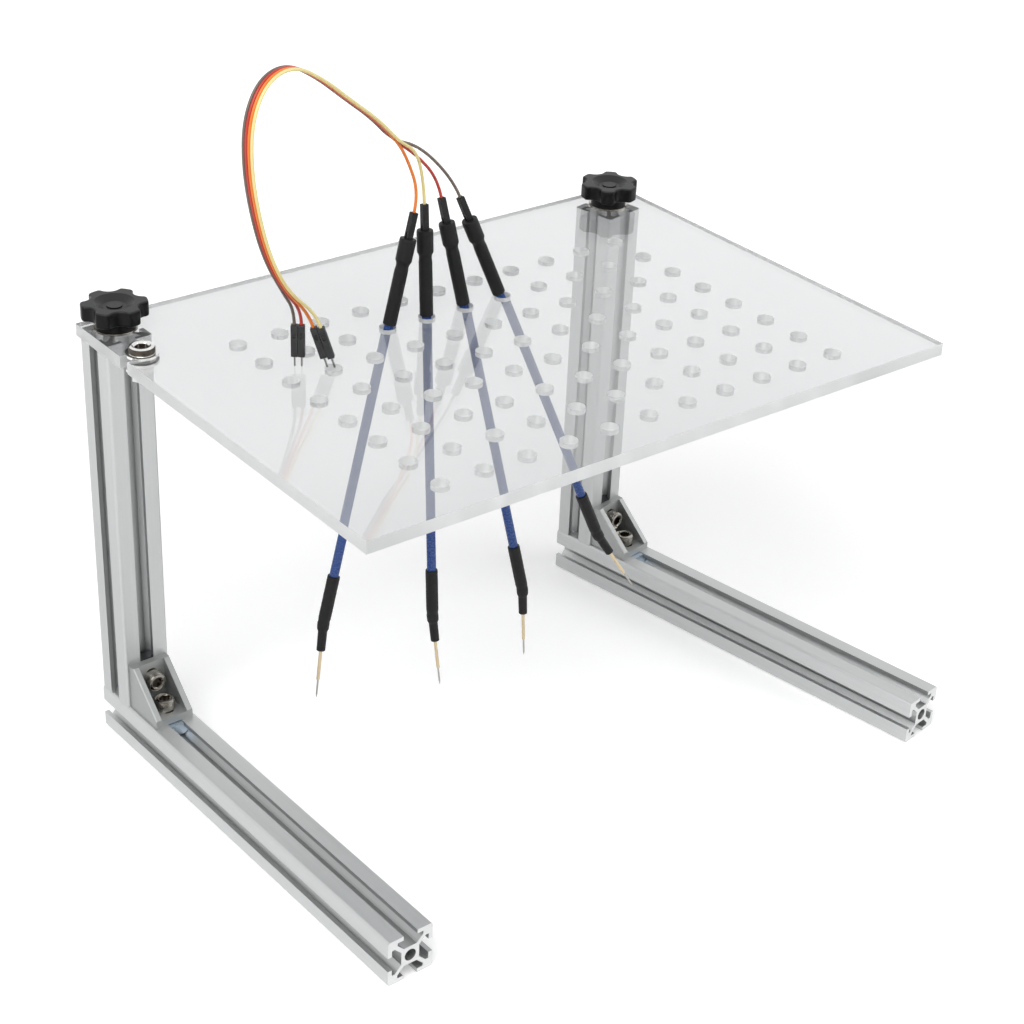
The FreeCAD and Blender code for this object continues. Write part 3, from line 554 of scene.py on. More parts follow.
def blend_colours(tree, mask, dark, light):
    """A colour that runs from dark to light with a mask."""
    mix = tree.nodes.new("ShaderNodeMix")
    mix.data_type = "RGBA"
    mix.inputs["A"].default_value = (*dark, 1)
    mix.inputs["B"].default_value = (*light, 1)
    tree.links.new(mask, mix.inputs["Factor"])
    return mix.outputs["Result"]


def add_bump(tree, shader, height, strength, distance):
    """Feeds a height into the shader's normal."""
    bump = tree.nodes.new("ShaderNodeBump")
    bump.inputs["Strength"].default_value = strength
    bump.inputs["Distance"].default_value = distance
    tree.links.new(height, bump.inputs["Height"])
    tree.links.new(bump.outputs["Normal"], shader.inputs["Normal"])


# %% [markdown]
# ## Metal finishes
#
# Anodised profile is satin grey: fully metallic, rather rough, with streaks along the bar,
# and on the uprights its grey is darker as painted shade. Its sawn ends are brighter and
# rougher, so the material finds them by the direction that the face points in, along the
# bar. The bracket is a blasted casting, its screws nickel, the slot nuts blue zinc, the
# clamp screw and its washers chrome. The nickel's colour is a painted reflection, dark face
# on and bright at its rims, and the upper slot nuts are painted dark as shade deep in the
# uprights. The barrels are gold, the pins tin, and the needles a plating between the two.
# A dark painted shade stands in the sockets of the screws and round the clamp screw's head.

# %% Metals
METAL_DEPTH = 0.0002
TURN = {"left": math.radians(-1.5), "right": math.radians(-9.5)}
PROFILE_GREYS = ((0.50, 0.51, 0.51), (0.60, 0.61, 0.61))
# painted shade: the uprights' grey is this share of the feet's
UPRIGHT_PAINTED_SHADE = 0.93
SAWN_FACING = (0.9, 0.97)
# painted shade on the slot nuts above this height, where they sit deep in the uprights
NUT_HEIGHT = (0.021, 0.023)
NUT_PAINTED_SHADE = (0.10, 0.105, 0.11)


def metal(name, dark, light, rough_low, rough_high, group, scale, turn=0.0, bump=0.0):
    """A metal whose colour and roughness vary with one group's pattern."""
    made, shader = material(name)
    tree = made.node_tree
    shader.inputs["Metallic"].default_value = 1.0
    pattern = place_group(tree, group, scale, rough_low, rough_high, turn)
    colour = blend_colours(tree, pattern.outputs["Mask"], dark, light)
    tree.links.new(colour, shader.inputs["Base Color"])
    tree.links.new(pattern.outputs["Value"], shader.inputs["Roughness"])
    if bump:
        add_bump(tree, shader, pattern.outputs["Mask"], bump, METAL_DEPTH)
    return made


def axis_part(tree, output, axis):
    """One part, X, Y or Z, of the object's own coordinates or normals."""
    place = tree.nodes.new("ShaderNodeTexCoord")
    parts = tree.nodes.new("ShaderNodeSeparateXYZ")
    tree.links.new(place.outputs[output], parts.inputs[0])
    return parts.outputs[axis]


def lay_over(tree, mask, label, kind):
    """A socket for what covers the shader's present value, as far as the mask lets it."""
    target = tree.nodes["Principled BSDF"].inputs[label]
    mix = tree.nodes.new("ShaderNodeMix")
    mix.data_type = kind
    tree.links.new(mask.outputs[0], mix.inputs["Factor"])
    tree.links.new(target.links[0].from_socket, mix.inputs["A"])
    tree.links.new(mix.outputs["Result"], target)
    return mix.inputs["B"]


def profile_metal(name, along, turn):
    """Anodised profile, streaked along its bar, with paler sawn ends; its grey is darker on the
    uprights as painted shade.
    """
    scale = {"Y": (900, 12, 900), "Z": (900, 900, 12)}[along]
    # the uprights get a darker copy of the grey: painted shade
    depth = {"Y": 1.0, "Z": UPRIGHT_PAINTED_SHADE}[along]
    dark, light = [[value * depth for value in grey] for grey in PROFILE_GREYS]
    made = metal(name, dark, light, 0.40, 0.50, GRAIN, scale, turn, 0.05)
    tree = made.node_tree
    facing = maths(tree, "ABSOLUTE", axis_part(tree, "Normal", along))
    mask = map_range(tree, facing, SAWN_FACING)
    sawn = place_group(tree, GRAIN, (60, 500, 1800), 0.42, 0.6, turn)
    pale = blend_colours(tree, sawn.outputs["Mask"], (0.58, 0.59, 0.59), (0.76, 0.76, 0.76))
    tree.links.new(pale, lay_over(tree, mask, "Base Color", "RGBA"))
    tree.links.new(sawn.outputs["Value"], lay_over(tree, mask, "Roughness", "FLOAT"))
    return made


def shade_by(made, output, reach, colour):
    """Paints shade and light: moves a base colour to another as a height, or a facing upwards,
    runs through reach.
    """
    tree = made.node_tree
    mask = map_range(tree, axis_part(tree, output, "Z"), reach)
    lay_over(tree, mask, "Base Color", "RGBA").default_value = (*colour, 1)


def mirror_metal(name, faced, grazed):
    """Bright plating whose colour is painted dark face on and bright at its rims: a painted
    reflection, with random patches.
    """
    made = metal(name, faced, grazed, 0.12, 0.22, PATCHES, (300, 300, 300))
    tree = made.node_tree
    # the base colour follows the facing: painted reflection
    rim = tree.nodes.new("ShaderNodeLayerWeight")
    rim.inputs["Blend"].default_value = 0.45
    spots = place_group(tree, PATCHES, (420, 420, 420), 0.7, 1.3)
    shade = maths(tree, "MULTIPLY", rim.outputs["Facing"], spots.outputs["Value"])
    colour = blend_colours(tree, shade, faced, grazed)
    tree.links.new(colour, tree.nodes["Principled BSDF"].inputs["Base Color"])
    return made


METALS = {
    "cast": metal(
        "blasted_casting", (0.33, 0.34, 0.335), (0.44, 0.45, 0.445), 0.5, 0.62, GRIT,
        (1600, 1600, 1600), 0, 0.25,
    ),
    # nickel with a painted reflection: dark face on, bright at its rims
    "nickel": mirror_metal("bright_nickel", (0.10, 0.09, 0.075), (0.86, 0.83, 0.78)),
    "steel": metal(
        "turned_steel", (0.50, 0.50, 0.49), (0.64, 0.64, 0.63), 0.25, 0.35, GRAIN,
        (800, 800, 4000), 0, 0.05,
    ),
}
# name: material, dark and light colour, roughness from and to, fineness of its patches
PATCHED_METALS = {
    "chrome": ("bright_chrome", (0.66, 0.66, 0.64), (0.92, 0.92, 0.90), 0.10, 0.20, 500),
    # painted shade in the screws' sockets and on the band round the clamp screw's head
    "recess": ("screw_recess", (0.04, 0.034, 0.028), (0.11, 0.095, 0.08), 0.3, 0.45, 600),
    "plunger": ("needle_plating", (0.32, 0.31, 0.29), (0.46, 0.45, 0.42), 0.25, 0.36, 500),
    "tin": ("tin_plate", (0.16, 0.16, 0.155), (0.30, 0.30, 0.29), 0.25, 0.36, 500),
    "zinc": ("blue_zinc", (0.40, 0.50, 0.62), (0.58, 0.66, 0.74), 0.25, 0.38, 250),
    "gold": ("gold_plate", (0.50, 0.41, 0.26), (0.66, 0.55, 0.38), 0.25, 0.36, 500),
    "copper": ("bare_copper", (0.62, 0.32, 0.20), (0.80, 0.47, 0.33), 0.3, 0.4, 500),
}
for name, (*values, fineness) in PATCHED_METALS.items():
    METALS[name] = metal(*values, PATCHES, (fineness,) * 3)
# painted shade on the upper slot nuts, deep in the uprights
shade_by(METALS["zinc"], "Object", NUT_HEIGHT, NUT_PAINTED_SHADE)
print("metals:", list(METALS))

# %% [markdown]
# ## Plastics
#
# A moulded or drawn plastic reflects a little at every angle. What tells them apart is how
# rough they are and how fine their grain is: the knobs are semi-gloss with a faint grit,
# the shrink sleeves matt and wrinkled, the blue tubes smooth and almost wet.

# %% Plastics
PLASTIC_DEPTH = 0.0001
# painted light: the knobs are paler where they face upwards
KNOB_FACING = (0.3, 0.95)
KNOB_PAINTED_LIGHT = (0.032, 0.032, 0.033)


def plastic(name, dark, light, rough_low, rough_high, grit, bump, gloss):
    """An opaque plastic with a grit of the given fineness."""
    made, shader = material(name)
    tree = made.node_tree
    pattern = place_group(tree, GRIT, (grit, grit, grit), rough_low, rough_high)
    slow = place_group(tree, PATCHES, (90, 90, 90))
    colour = blend_colours(tree, slow.outputs["Mask"], dark, light)
    tree.links.new(colour, shader.inputs["Base Color"])
    tree.links.new(pattern.outputs["Value"], shader.inputs["Roughness"])
    shader.inputs["Specular IOR Level"].default_value = gloss
    add_bump(tree, shader, pattern.outputs["Mask"], bump, PLASTIC_DEPTH)
    return made


# name: material, dark and light colour, roughness from and to, fineness and depth of its
# grit, and how strongly it reflects
PLASTIC_ROWS = {
    "knob": (
        "knob_black", (0.003, 0.003, 0.0035), (0.006, 0.006, 0.0065), 0.28, 0.38, 2500, 0.12, 0.14,
    ),
    "sleeve": ("shrink_sleeve", (0.004,) * 3, (0.010,) * 3, 0.45, 0.6, 900, 0.3, 0.25),
    "socket": ("wire_socket", (0.005,) * 3, (0.011,) * 3, 0.4, 0.5, 3000, 0.1, 0.25),
    "housing": (
        "pin_housing", (0.012, 0.012, 0.013), (0.024, 0.024, 0.026), 0.4, 0.5, 3000, 0.1, 0.5,
    ),
    "blue": ("blue_tube", (0.012, 0.045, 0.18), (0.020, 0.066, 0.26), 0.22, 0.32, 1500, 0.03, 0.4),
}
WIRE_COLOURS = {
    "brown": ((0.12, 0.09, 0.07), (0.18, 0.14, 0.11)),
    "red": ((0.42, 0.03, 0.02), (0.55, 0.05, 0.03)),
    "orange": ((0.72, 0.17, 0.02), (0.85, 0.24, 0.03)),
    "yellow": ((0.74, 0.62, 0.24), (0.86, 0.75, 0.36)),
}
PLASTICS = {name: plastic(*row) for name, row in PLASTIC_ROWS.items()}
for name, (dark, light) in WIRE_COLOURS.items():
    PLASTICS[name] = plastic(f"wire_{name}", dark, light, 0.35, 0.45, 1500, 0.03, 0.5)
# painted light on the knobs' upward faces
shade_by(PLASTICS["knob"], "Normal", KNOB_FACING, KNOB_PAINTED_LIGHT)
print("plastics:", list(PLASTICS))

# %% [markdown]
# ## The clear plate
#
# Clear acrylic bends light less than window glass and has polished faces, here with a slight
# haze. Its sawn edges and the walls of its holes are frosted: they scatter light and look
# pale. So the plate has two materials. The piece is a copy of the model's own plate whose
# faces are sorted by the way that they point: those facing up or down are clear, and those
# facing sideways are frosted.

# %% Clear plate


def acrylic(name, colour, transmission, rough_low, rough_high, scale):
    """Acrylic that lets a share of the light through and scatters the rest."""
    made, shader = material(name)
    shader.inputs["Base Color"].default_value = (*colour, 1)
    shader.inputs["Transmission Weight"].default_value = transmission
    shader.inputs["IOR"].default_value = 1.49
    marks = place_group(made.node_tree, GRAIN, scale, rough_low, rough_high)
    made.node_tree.links.new(marks.outputs["Value"], shader.inputs["Roughness"])
    return made


CLEAR = acrylic("clear_acrylic", (0.76, 0.77, 0.775), 0.87, 0.01, 0.02, (40, 40, 40))
FROSTED = acrylic("frosted_acrylic", (0.86, 0.87, 0.87), 0.45, 0.40, 0.55, (900, 900, 150))


def merged_copy(node, name):
    """A copy of a node's mesh with its loose triangles joined."""
    work = bmesh.new()
    work.from_mesh(NODES[node].data)
    work.transform(NODES[node].matrix_world)
    bmesh.ops.remove_doubles(work, verts=work.verts, dist=1e-6)
    work.verts.index_update()
    corners = [tuple(vertex.co) for vertex in work.verts]
    faces = [[vertex.index for vertex in face.verts] for face in work.faces]
    work.free()
    mesh = bpy.data.meshes.new(name)
    mesh.from_pydata(corners, [], faces)
    mesh.shade_smooth()
    mesh.set_sharp_from_angle(angle=math.radians(30))
    return new_object(name, mesh)


plate = merged_copy("probe_plate", "plate_clear")
plate.data.materials.append(CLEAR)
plate.data.materials.append(FROSTED)
for face in plate.data.polygons:
    face.material_index = 0 if abs(face.normal.z) > 0.7 else 1
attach(plate, "plate")
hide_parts("probe_plate")
print("plate faces:", len(plate.data.polygons))

# %% [markdown]
# ## Shrink sleeves
#
# Heat-shrink sleeve is a soft tube that closes on what it covers, so its outline follows the
# parts inside and its skin stays slightly rippled. The tree sweeps a ring along a path, takes
# the ring's size from the path's own radius, and pushes the skin inwards by a little noise.
# The lower sleeve bends where the tube ends and narrows on to the needle's barrel.

# %% Shrink sleeves


def sleeve_tree():
    """A rippled tube along a path, as thick as the path's own radius."""
    tree, start, end = new_tree(
        "shrink_sleeve",
        [
            ("Steps", WHOLE, 60),
            ("Sides", WHOLE, 28),
            ("Ripple", FLOAT, 0.0001),
            ("Ripple Scale", FLOAT, 350.0),
            ("Seed", WHOLE, SEED),
            ("Material", FINISH, None),
        ],
    )
    link = tree.links.new
    n = add_nodes(
        tree,
        even="GeometryNodeResampleCurve",
        ring="GeometryNodeCurvePrimitiveCircle",
        girth="GeometryNodeInputRadius",
        sweep="GeometryNodeCurveToMesh",
        noise="ShaderNodeTexNoise",
        below_one="ShaderNodeMath",
        depth="ShaderNodeMath",
        normal="GeometryNodeInputNormal",
        inward="ShaderNodeVectorMath",
        move="GeometryNodeSetPosition",
    )
    n.ring.inputs["Radius"].default_value = 1.0
    n.noise.noise_dimensions = "4D"
    n.below_one.operation = "SUBTRACT"
    n.below_one.inputs[1].default_value = 1.0
    n.depth.operation = "MULTIPLY"
    n.inward.operation = "SCALE"
    n.sweep.inputs["Fill Caps"].default_value = True
    link(start.outputs["Geometry"], n.even.inputs["Curve"])
    link(start.outputs["Steps"], n.even.inputs["Count"])
    link(start.outputs["Sides"], n.ring.inputs["Resolution"])
    link(n.even.outputs["Curve"], n.sweep.inputs["Curve"])
    link(n.ring.outputs["Curve"], n.sweep.inputs["Profile Curve"])
    link(n.girth.outputs[0], n.sweep.inputs["Scale"])
    link(start.outputs["Ripple Scale"], n.noise.inputs["Scale"])
    link(start.outputs["Seed"], n.noise.inputs["W"])
    link(n.noise.outputs["Fac"], n.below_one.inputs[0])
    link(n.below_one.outputs[0], n.depth.inputs[0])
    link(start.outputs["Ripple"], n.depth.inputs[1])
    link(n.normal.outputs["Normal"], n.inward.inputs[0])
    link(n.depth.outputs[0], n.inward.inputs["Scale"])
    link(n.sweep.outputs["Mesh"], n.move.inputs["Geometry"])
    link(n.inward.outputs["Vector"], n.move.inputs["Offset"])
    finish_tree(tree, start, end, n.move.outputs["Geometry"])
    return tree


SLEEVE = sleeve_tree()
# height above the sleeve's foot and radius there, in millimetres
UPPER_OUTLINE = [
    (0.0, 2.6), (0.4, 2.7), (21.5, 2.7), (23.4, 2.5),
    (24.6, 2.7), (25.6, 3.25), (33.6, 3.3), (34.3, 3.15),
]
# distance below the sleeve's top and radius there, in millimetres
LOWER_OUTLINE = [
    (0.1, 2.5), (0.6, 2.6), (18.5, 2.6), (20.0, 2.4),
    (21.0, 2.55), (23.4, 2.45), (24.6, 1.95), (32.9, 1.85),
]
# where the lower sleeve bends, below its top
KINK_PLACE = 21.5


def sleeve_on(path, name, seed):
    """A sleeve along points with radii, in metres."""
    data = bpy.data.curves.new(name, "CURVE")
    data.dimensions = "3D"
    spline = data.splines.new("POLY")
    spline.points.add(len(path) - 1)
    for point, (place, radius) in zip(spline.points, path):
        point.co = (*place, 1)
        point.radius = radius
    source = new_object(name, data)
    return run_tree(source, SLEEVE, name, seed=seed, material=PLASTICS["sleeve"])


def lower_path(number):
    """The lower sleeve's line: down the tube, then along the needle's own axis."""
    along = -probe_axis(number)
    after = -joint_axis(f"needle_{number}_press").normalized()
    top = PROBE_FRAMES[number].translation
    top = top + along * (tube_length(number) - TUBE_ABOVE - TUBE_IN_HOLDER)
    kink = top + along * (KINK_PLACE * MM)
    path = []
    for down, radius in LOWER_OUTLINE:
        place = top + along * (down * MM)
        if down > KINK_PLACE:
            place = kink + after * ((down - KINK_PLACE) * MM)
        path.append((place, radius * MM))
    return path


for number in PROBES:
    frame_of = PROBE_FRAMES[number]
    upper = []
    for height, radius in UPPER_OUTLINE:
        upper.append((frame_of @ Vector((0, 0, height * MM)), radius * MM))
    for role, path in (("upper", upper), ("lower", lower_path(number))):
        piece = sleeve_on(path, f"sleeve_{role}_{number}", SEED + number)
        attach(piece, f"probe_{number}")
        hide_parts(f"probe_{number}_{role}_sleeve")
    print("sleeves of probe", number)

# %% [markdown]
# ## Pin housings
#
# Each wire ends in a small black moulding. A moulding has soft edges, an open mouth at each
# end and a latch window in its side, through which the gold crimp shows. It starts as a
# box with bevelled edges. Cutting boxes out of it with a Boolean makes the mouths and window.

# %% Pin housings
HOUSING_SIDE = 2.54 * MM
WINDOW_TURN = math.radians(-90)


def box_mesh(name, sides, middle=(0, 0, 0), bevel=0.0):
    """A box of three side lengths, its edges rounded where a bevel is given."""
    mesh = bpy.data.meshes.new(name)
    work = bmesh.new()
    shape = Matrix.Translation(middle) @ Matrix.Diagonal((*sides, 1))
    bmesh.ops.create_cube(work, size=1.0, matrix=shape)
    if bevel:
        edges = list(work.edges)
        bmesh.ops.bevel(work, geom=edges, offset=bevel, segments=2, profile=0.5, affect="EDGES")
    work.to_mesh(mesh)
    work.free()
    return mesh


def carved(name, mesh, cutters):
    """A mesh with other meshes cut out of it."""
    solid = new_object(name, mesh)
    tools = [new_object(f"{name}_cutter", cutter) for cutter in cutters]
    for tool in tools:
        step = solid.modifiers.new("cut", "BOOLEAN")
        step.operation = "DIFFERENCE"
        step.solver = "EXACT"
        step.object = tool
    bpy.context.view_layer.update()
    graph = bpy.context.evaluated_depsgraph_get()
    result = bpy.data.meshes.new_from_object(solid.evaluated_get(graph))
    for item in [solid, *tools]:
        bpy.data.objects.remove(item)
    return result


def housing_mesh(length, window_height):
    """A housing with its middle at zero, mouths in both ends and a window in one side."""
    side = HOUSING_SIDE
    body = box_mesh("housing_body", (side, side, length), bevel=0.18 * MM)
    mouth = (1.5 * MM, 1.5 * MM, 2.4 * MM)
    cutters = [box_mesh("mouth", mouth, (0, 0, end * length / 2)) for end in (-1, 1)]
    window = (1.1 * MM, 0.9 * MM, 2.2 * MM)
    cutters.append(box_mesh("window", window, (0, -side / 2, window_height)))
    return carved("housing", body, cutters)


def crimp_mesh(length, window_height):
    """The end of the metal crimp that shows in the window."""
    spot = (0, -HOUSING_SIDE / 2 + 0.42 * MM, window_height)
    return box_mesh("crimp", (0.8 * MM, 0.3 * MM, 1.7 * MM), spot, bevel=0.08 * MM)


def place_housing(name, frame_of, length, window_height, node, body, made="housing", crimp="gold"):
    """A housing and its crimp in place of a node, in the finishes that are named."""
    mesh = housing_mesh(length, window_height)
    work = bmesh.new()
    work.from_mesh(mesh)
    black_faces = len(work.faces)
    work.from_mesh(crimp_mesh(length, window_height))
    work.faces.ensure_lookup_table()
    for face in work.faces:
        face.material_index = 0 if face.index < black_faces else 1
    work.transform(frame_of)
    work.to_mesh(mesh)
    work.free()
    mesh.materials.clear()
    mesh.materials.append(PLASTICS[made])
    mesh.materials.append(METALS[crimp])
    piece = new_object(name, mesh)
    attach(piece, body)
    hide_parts(node)
    return piece


for colour in WIRES:
    name, node = f"pin_housing_{colour}", f"end_housing_{colour}"
    spot = housing_frame(colour)
    place_housing(name, spot, HOUSING_LENGTH, 2.5 * MM, node, "plate")
for number in PROBES:
    top, axis = socket_top(number)
    turn = PROBE_FRAMES[number].to_3x3().to_4x4() @ Matrix.Rotation(WINDOW_TURN, 4, "Z")
    middle = Matrix.Translation(top - axis * (SOCKET_LENGTH / 2)) @ turn
    name = f"wire_socket_{number}"
    node, body = f"probe_{number}_socket", f"probe_{number}"
    place_housing(name, middle, SOCKET_LENGTH, -2.0 * MM, node, body, "socket", "steel")
print("housings:", 2 * len(WIRES))

# %% [markdown]
# ## Socket screws
#
# A cap screw is turned, then its head is knurled for grip and broached with a hexagon. The
# turned shape is a stack of rings: the ring at the socket is six-sided and the others round.
# The knurl is one thin ridge, repeated round the head by a tree. A second tree winds the
# thread as a spiral round the shank.

# %% Socket screws


def turned_mesh(name, rings, sides=60):
    """A closed solid through rings of (radius, height, corners); zero corners is round."""
    work = bmesh.new()
    loops = []
    for radius, height, corners in rings:
        loop = []
        for step in range(sides):
            angle = 2 * math.pi * step / sides
            reach = radius
            if corners:
                half = math.pi / corners
                reach = radius / math.cos((angle + half) % (2 * half) - half)
            loop.append(work.verts.new((reach * math.cos(angle), reach * math.sin(angle), height)))
        loops.append(loop)
    for lower, upper in zip(loops, loops[1:]):
        for step in range(sides):
            after = (step + 1) % sides
            work.faces.new((lower[step], lower[after], upper[after], upper[step]))
    work.faces.new(list(reversed(loops[0])))
    work.faces.new(loops[-1])
    bmesh.ops.recalc_face_normals(work, faces=work.faces)
    mesh = bpy.data.meshes.new(name)
    work.to_mesh(mesh)
    work.free()
    return mesh


def paint_socket_shade(piece, plating, reach, depth, band=None):
    """Paints shade with a dark material on the faces inside the hexagon and on a band round the
    head.
    """
    mesh = piece.data
    mesh.materials.clear()
    mesh.materials.append(METALS[plating])
    mesh.materials.append(METALS["recess"])
    for face in mesh.polygons:
        away = math.hypot(face.center.x, face.center.y)
        inside = away < reach * MM and depth[0] * MM < face.center.z < depth[1] * MM
        side = band and away > band[0] * MM and band[1] * MM < face.center.z < band[2] * MM
        # the dark material is painted shade in the socket and on the head's band
        face.material_index = 1 if inside or side else 0
    return piece


def knurl_tree():
    """The source shape with thin upright ridges round it."""
    tree, start, end = new_tree(
        "knurl_ring",
        [
            ("Ridges", WHOLE, 40),
            ("Radius", FLOAT, 0.004),
            ("Middle", FLOAT, 0.002),
            ("Height", FLOAT, 0.003),
            ("Ridge Size", FLOAT, 0.0002),
            ("Material", FINISH, None),
        ],
    )
    link = tree.links.new
    n = add_nodes(
        tree,
        circle="GeometryNodeMeshCircle",
        ridge="GeometryNodeMeshCylinder",
        lift="ShaderNodeCombineXYZ",
        shift="GeometryNodeTransform",
        copies="GeometryNodeInstanceOnPoints",
        both="GeometryNodeJoinGeometry",
    )
    n.ridge.inputs["Vertices"].default_value = 4
    link(start.outputs["Ridges"], n.circle.inputs["Vertices"])
    link(start.outputs["Radius"], n.circle.inputs["Radius"])
    link(start.outputs["Ridge Size"], n.ridge.inputs["Radius"])
    link(start.outputs["Height"], n.ridge.inputs["Depth"])
    link(start.outputs["Middle"], n.lift.inputs["Z"])
    link(n.ridge.outputs["Mesh"], n.shift.inputs["Geometry"])
    link(n.lift.outputs[0], n.shift.inputs["Translation"])
    link(n.circle.outputs["Mesh"], n.copies.inputs["Points"])
    link(n.shift.outputs["Geometry"], n.copies.inputs["Instance"])
    link(n.copies.outputs["Instances"], n.both.inputs["Geometry"])
    link(start.outputs["Geometry"], n.both.inputs["Geometry"])
    finish_tree(tree, start, end, n.both.outputs["Geometry"])
    return tree


def thread_tree():
    """The source shape with a thread wound round its lower end."""
    tree, start, end = new_tree(
        "screw_thread",
        [
            ("Core Radius", FLOAT, 0.0022),
            ("Foot", FLOAT, -0.01),
            ("Height", FLOAT, 0.008),
            ("Turns", FLOAT, 10.0),
            ("Tooth", FLOAT, 0.0003),
            ("Material", FINISH, None),
        ],
    )
    link = tree.links.new
    n = add_nodes(
        tree,
        spiral="GeometryNodeCurveSpiral",
        tooth="GeometryNodeCurvePrimitiveCircle",
        sweep="GeometryNodeCurveToMesh",
        lift="ShaderNodeCombineXYZ",
        shift="GeometryNodeTransform",
        both="GeometryNodeJoinGeometry",
    )
    n.spiral.inputs["Resolution"].default_value = 24
    n.tooth.inputs["Resolution"].default_value = 4
    n.sweep.inputs["Fill Caps"].default_value = True
    link(start.outputs["Turns"], n.spiral.inputs["Rotations"])
    link(start.outputs["Core Radius"], n.spiral.inputs["Start Radius"])
    link(start.outputs["Core Radius"], n.spiral.inputs["End Radius"])
    link(start.outputs["Height"], n.spiral.inputs["Height"])
    link(start.outputs["Tooth"], n.tooth.inputs["Radius"])
    link(n.spiral.outputs["Curve"], n.sweep.inputs["Curve"])
    link(n.tooth.outputs["Curve"], n.sweep.inputs["Profile Curve"])
    link(start.outputs["Foot"], n.lift.inputs["Z"])
    link(n.sweep.outputs["Mesh"], n.shift.inputs["Geometry"])
    link(n.lift.outputs[0], n.shift.inputs["Translation"])
    link(n.shift.outputs["Geometry"], n.both.inputs["Geometry"])
    link(start.outputs["Geometry"], n.both.inputs["Geometry"])
    finish_tree(tree, start, end, n.both.outputs["Geometry"])
    return tree


KNURL = knurl_tree()
THREAD = thread_tree()


def cap_screw(length):
    """A knurled socket screw, head above zero and shank below. Lengths in millimetres."""
    rings = [
        (2.4, -length, 0),
        (2.5, -length + 0.2, 0),
        (2.5, 0, 0),
        (4.0, 0, 0),
        (4.1, 0.2, 0),
        (4.1, 4.4, 0),
        (3.75, 4.9, 0),
        (2.75, 5.0, 0),
        (2.55, 4.95, 0),
        (2.0, 4.55, 6),
        (2.0, 2.5, 6),
    ]
    rings = [(radius * MM, height * MM, corners) for radius, height, corners in rings]
    source = new_object("cap_screw", turned_mesh("cap_screw", rings))
    values = {"radius": 4.1 * MM, "middle": 2.3 * MM, "height": 3.8 * MM, "ridge_size": 0.14 * MM}
    piece = run_tree(source, KNURL, "cap_screw", ridges=44, material=METALS["nickel"], **values)
    # painted shade in the hexagon socket
    return paint_socket_shade(piece, "nickel", 2.1, (2.0, 4.7))


def join_copies(name, source, places):
    """One object of several placed copies of a source, which is used up."""
    work = bmesh.new()
    for place in places:
        copy = source.data.copy()
        copy.transform(place)
        work.from_mesh(copy)
        bpy.data.meshes.remove(copy)
    mesh = source.data.copy()
    work.to_mesh(mesh)
    work.free()
    bpy.data.objects.remove(source)
    return new_object(name, mesh)


FOOT_TOP = 20.0
UPRIGHT_HALF = 10.0
BRACKET_THICKNESS = 3.0
BRACKET_HOLE = 12.5
BRACKET_FACE = 13.0
for side in ("left", "right"):
    spot = box_middle(f"{side}_upright")
    leg = Matrix.Translation((spot.x, spot.y, 0)) @ Matrix.Rotation(-TURN[side], 4, "Z")
    upper = Matrix.Translation(Vector((0, -BRACKET_FACE, FOOT_TOP + BRACKET_HOLE)) * MM)
    upper = upper @ Matrix.Rotation(math.radians(90), 4, "X")
    lower = Vector((0, -UPRIGHT_HALF - BRACKET_HOLE, FOOT_TOP + BRACKET_THICKNESS))
    lower = Matrix.Translation(lower * MM)
    piece = join_copies(f"{side}_cap_screws", cap_screw(6.5), [leg @ upper, leg @ lower])
    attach(piece, f"{side}_leg")
    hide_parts(f"{side}_bracket_screws")


CLAMP_HEAD = 2.8
THREAD_PITCH = 0.8


def clamp_screw():
    """The low-headed screw in the plate's edge slot, with a thread on its shank."""
    low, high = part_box("clamp_screw")
    reach = (high.z - low.z) / MM - CLAMP_HEAD
    rings = [
        (2.0, -reach, 0),
        (2.25, -reach + 0.3, 0),
        (2.25, 0, 0),
        (4.95, 0, 0),
        (5.0, 0.15, 0),
        (5.0, 1.9, 0),
        (4.75, 2.45, 0),
        (4.2, 2.75, 0),
        (3.6, CLAMP_HEAD, 0),
        (3.2, 2.65, 0),
        (2.5, 2.1, 6),
        (2.5, 0.9, 6),
    ]
    rings = [(radius * MM, height * MM, corners) for radius, height, corners in rings]
    source = new_object("clamp", turned_mesh("clamp", rings))
    values = {"core_radius": 2.2 * MM, "foot": (-reach + 0.4) * MM, "height": (reach - 1.2) * MM}
    piece = run_tree(
        source, THREAD, "clamp_button_screw", turns=(reach - 1.2) / THREAD_PITCH,
        tooth=0.28 * MM, material=METALS["nickel"], **values,
    )
    # painted shade in the hexagon socket and on a band round the head's side
    paint_socket_shade(piece, "chrome", 2.7, (0.8, 2.3), (4.6, 0.5, 2.3))
    middle = (low + high) / 2
    top = high.z - CLAMP_HEAD * MM
    piece.data.transform(Matrix.Translation((middle.x, middle.y, top)))
    return piece


piece = clamp_screw()
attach(piece, "plate")
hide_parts("clamp_screw")
print("screws: two in each bracket and one in the plate")

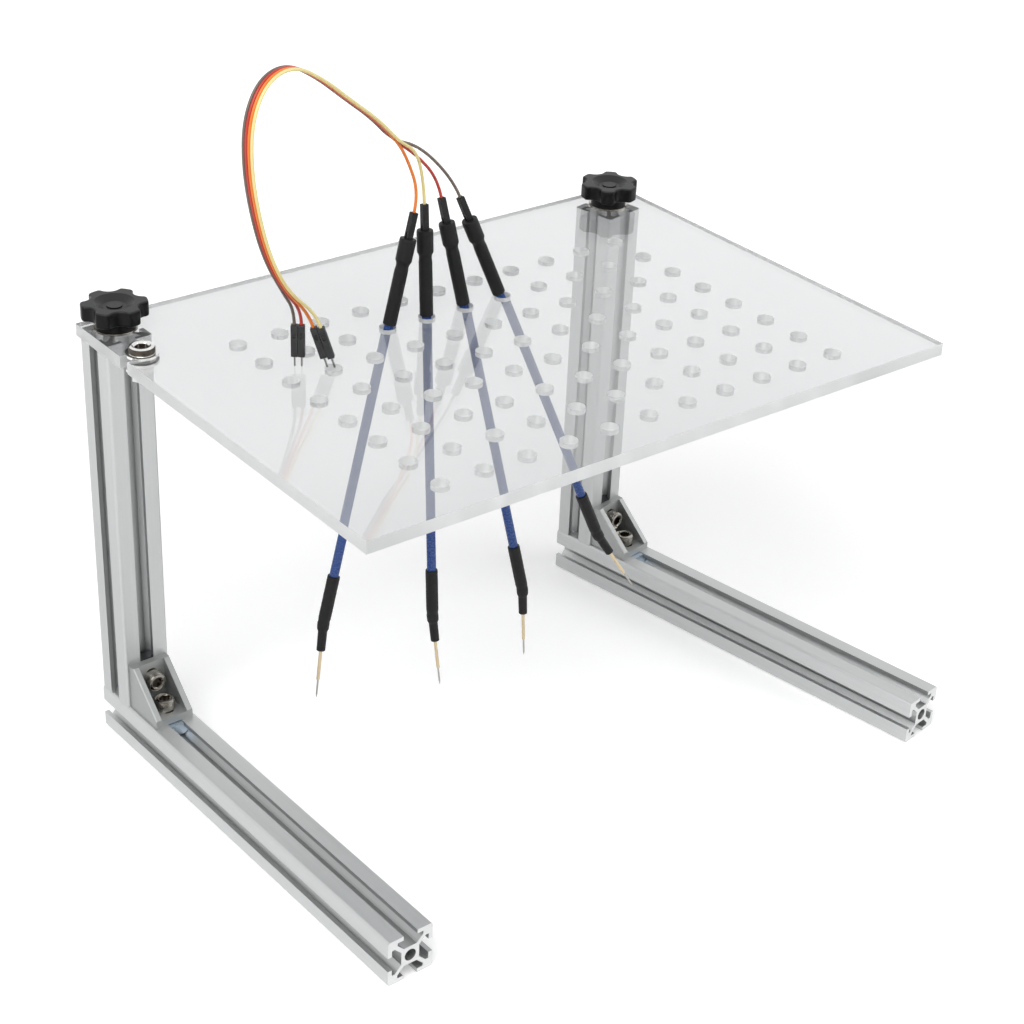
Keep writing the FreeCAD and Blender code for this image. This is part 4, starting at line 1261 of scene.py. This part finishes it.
# %% [markdown]
# ## The pieces that stay as they are
#
# Profiles, brackets, nuts, knobs, tubes and needles already have their real shape in the
# engineering model, down to the rounded edges. They stay where they are and only get a
# finish. Each profile gets its own material, because its streaks follow its own bar.

# %% Dress the carried-over pieces


def dress(node, made):
    """Gives a CAD node its finish."""
    slots = NODES[node].material_slots
    for slot in slots:
        slot.material = made
    if not slots:
        NODES[node].data.materials.append(made)


for side in ("left", "right"):
    dress(f"{side}_foot_rail", profile_metal(f"{side}_foot_profile", "Y", TURN[side]))
    dress(f"{side}_upright", profile_metal(f"{side}_upright_profile", "Z", TURN[side]))
    dress(f"{side}_corner_bracket", METALS["cast"])
    dress(f"{side}_slot_nuts", METALS["zinc"])
    dress(f"{side}_star_knob", PLASTICS["knob"])
    dress(f"{side}_knob_stud", METALS["steel"])
    dress(f"{side}_knob_washer", METALS["nickel"])
for number in PROBES:
    dress(f"probe_{number}_tube", PLASTICS["blue"])
    dress(f"probe_{number}_core", METALS["copper"])
    dress(f"probe_{number}_barrel", METALS["gold"])
    dress(f"probe_{number}_needle", METALS["plunger"])
dress("end_pins", METALS["tin"])
dress("clamp_washers", METALS["chrome"])
dress("clamp_nut", METALS["steel"])
print("dressed the pieces that keep the model's own shape")

# %% [markdown]
# ## The wires' colours
#
# When a probe is pushed up its hole, the end of its wire goes with it and the ribbon stays.
# Here each wire gets the plastic of its colour, and its mesh is baked where it stands. The
# point where it leaves the ribbon and the top of its probe's socket are found, and the first
# is taken at the second's height, because the housings stand lower than the sockets: along a
# falling line, the wire's other end would count as beyond the socket and leave its housing.
# The pins are one piece for all four wires. The model's own wires are hidden.

# %% The wires get their colours
for colour, piece in wires.items():
    number = WIRES[colour][0]
    piece.data.materials.clear()
    piece.data.materials.append(PLASTICS[colour])
    socket = socket_top(number)[0]
    leaves = lead_point(*LEAD_ROUTE[-1], WIRES[colour][1]) * MM
    leaves.z = socket.z
    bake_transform(piece)
    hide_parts(f"wire_{colour}")
print("wires:", list(wires))
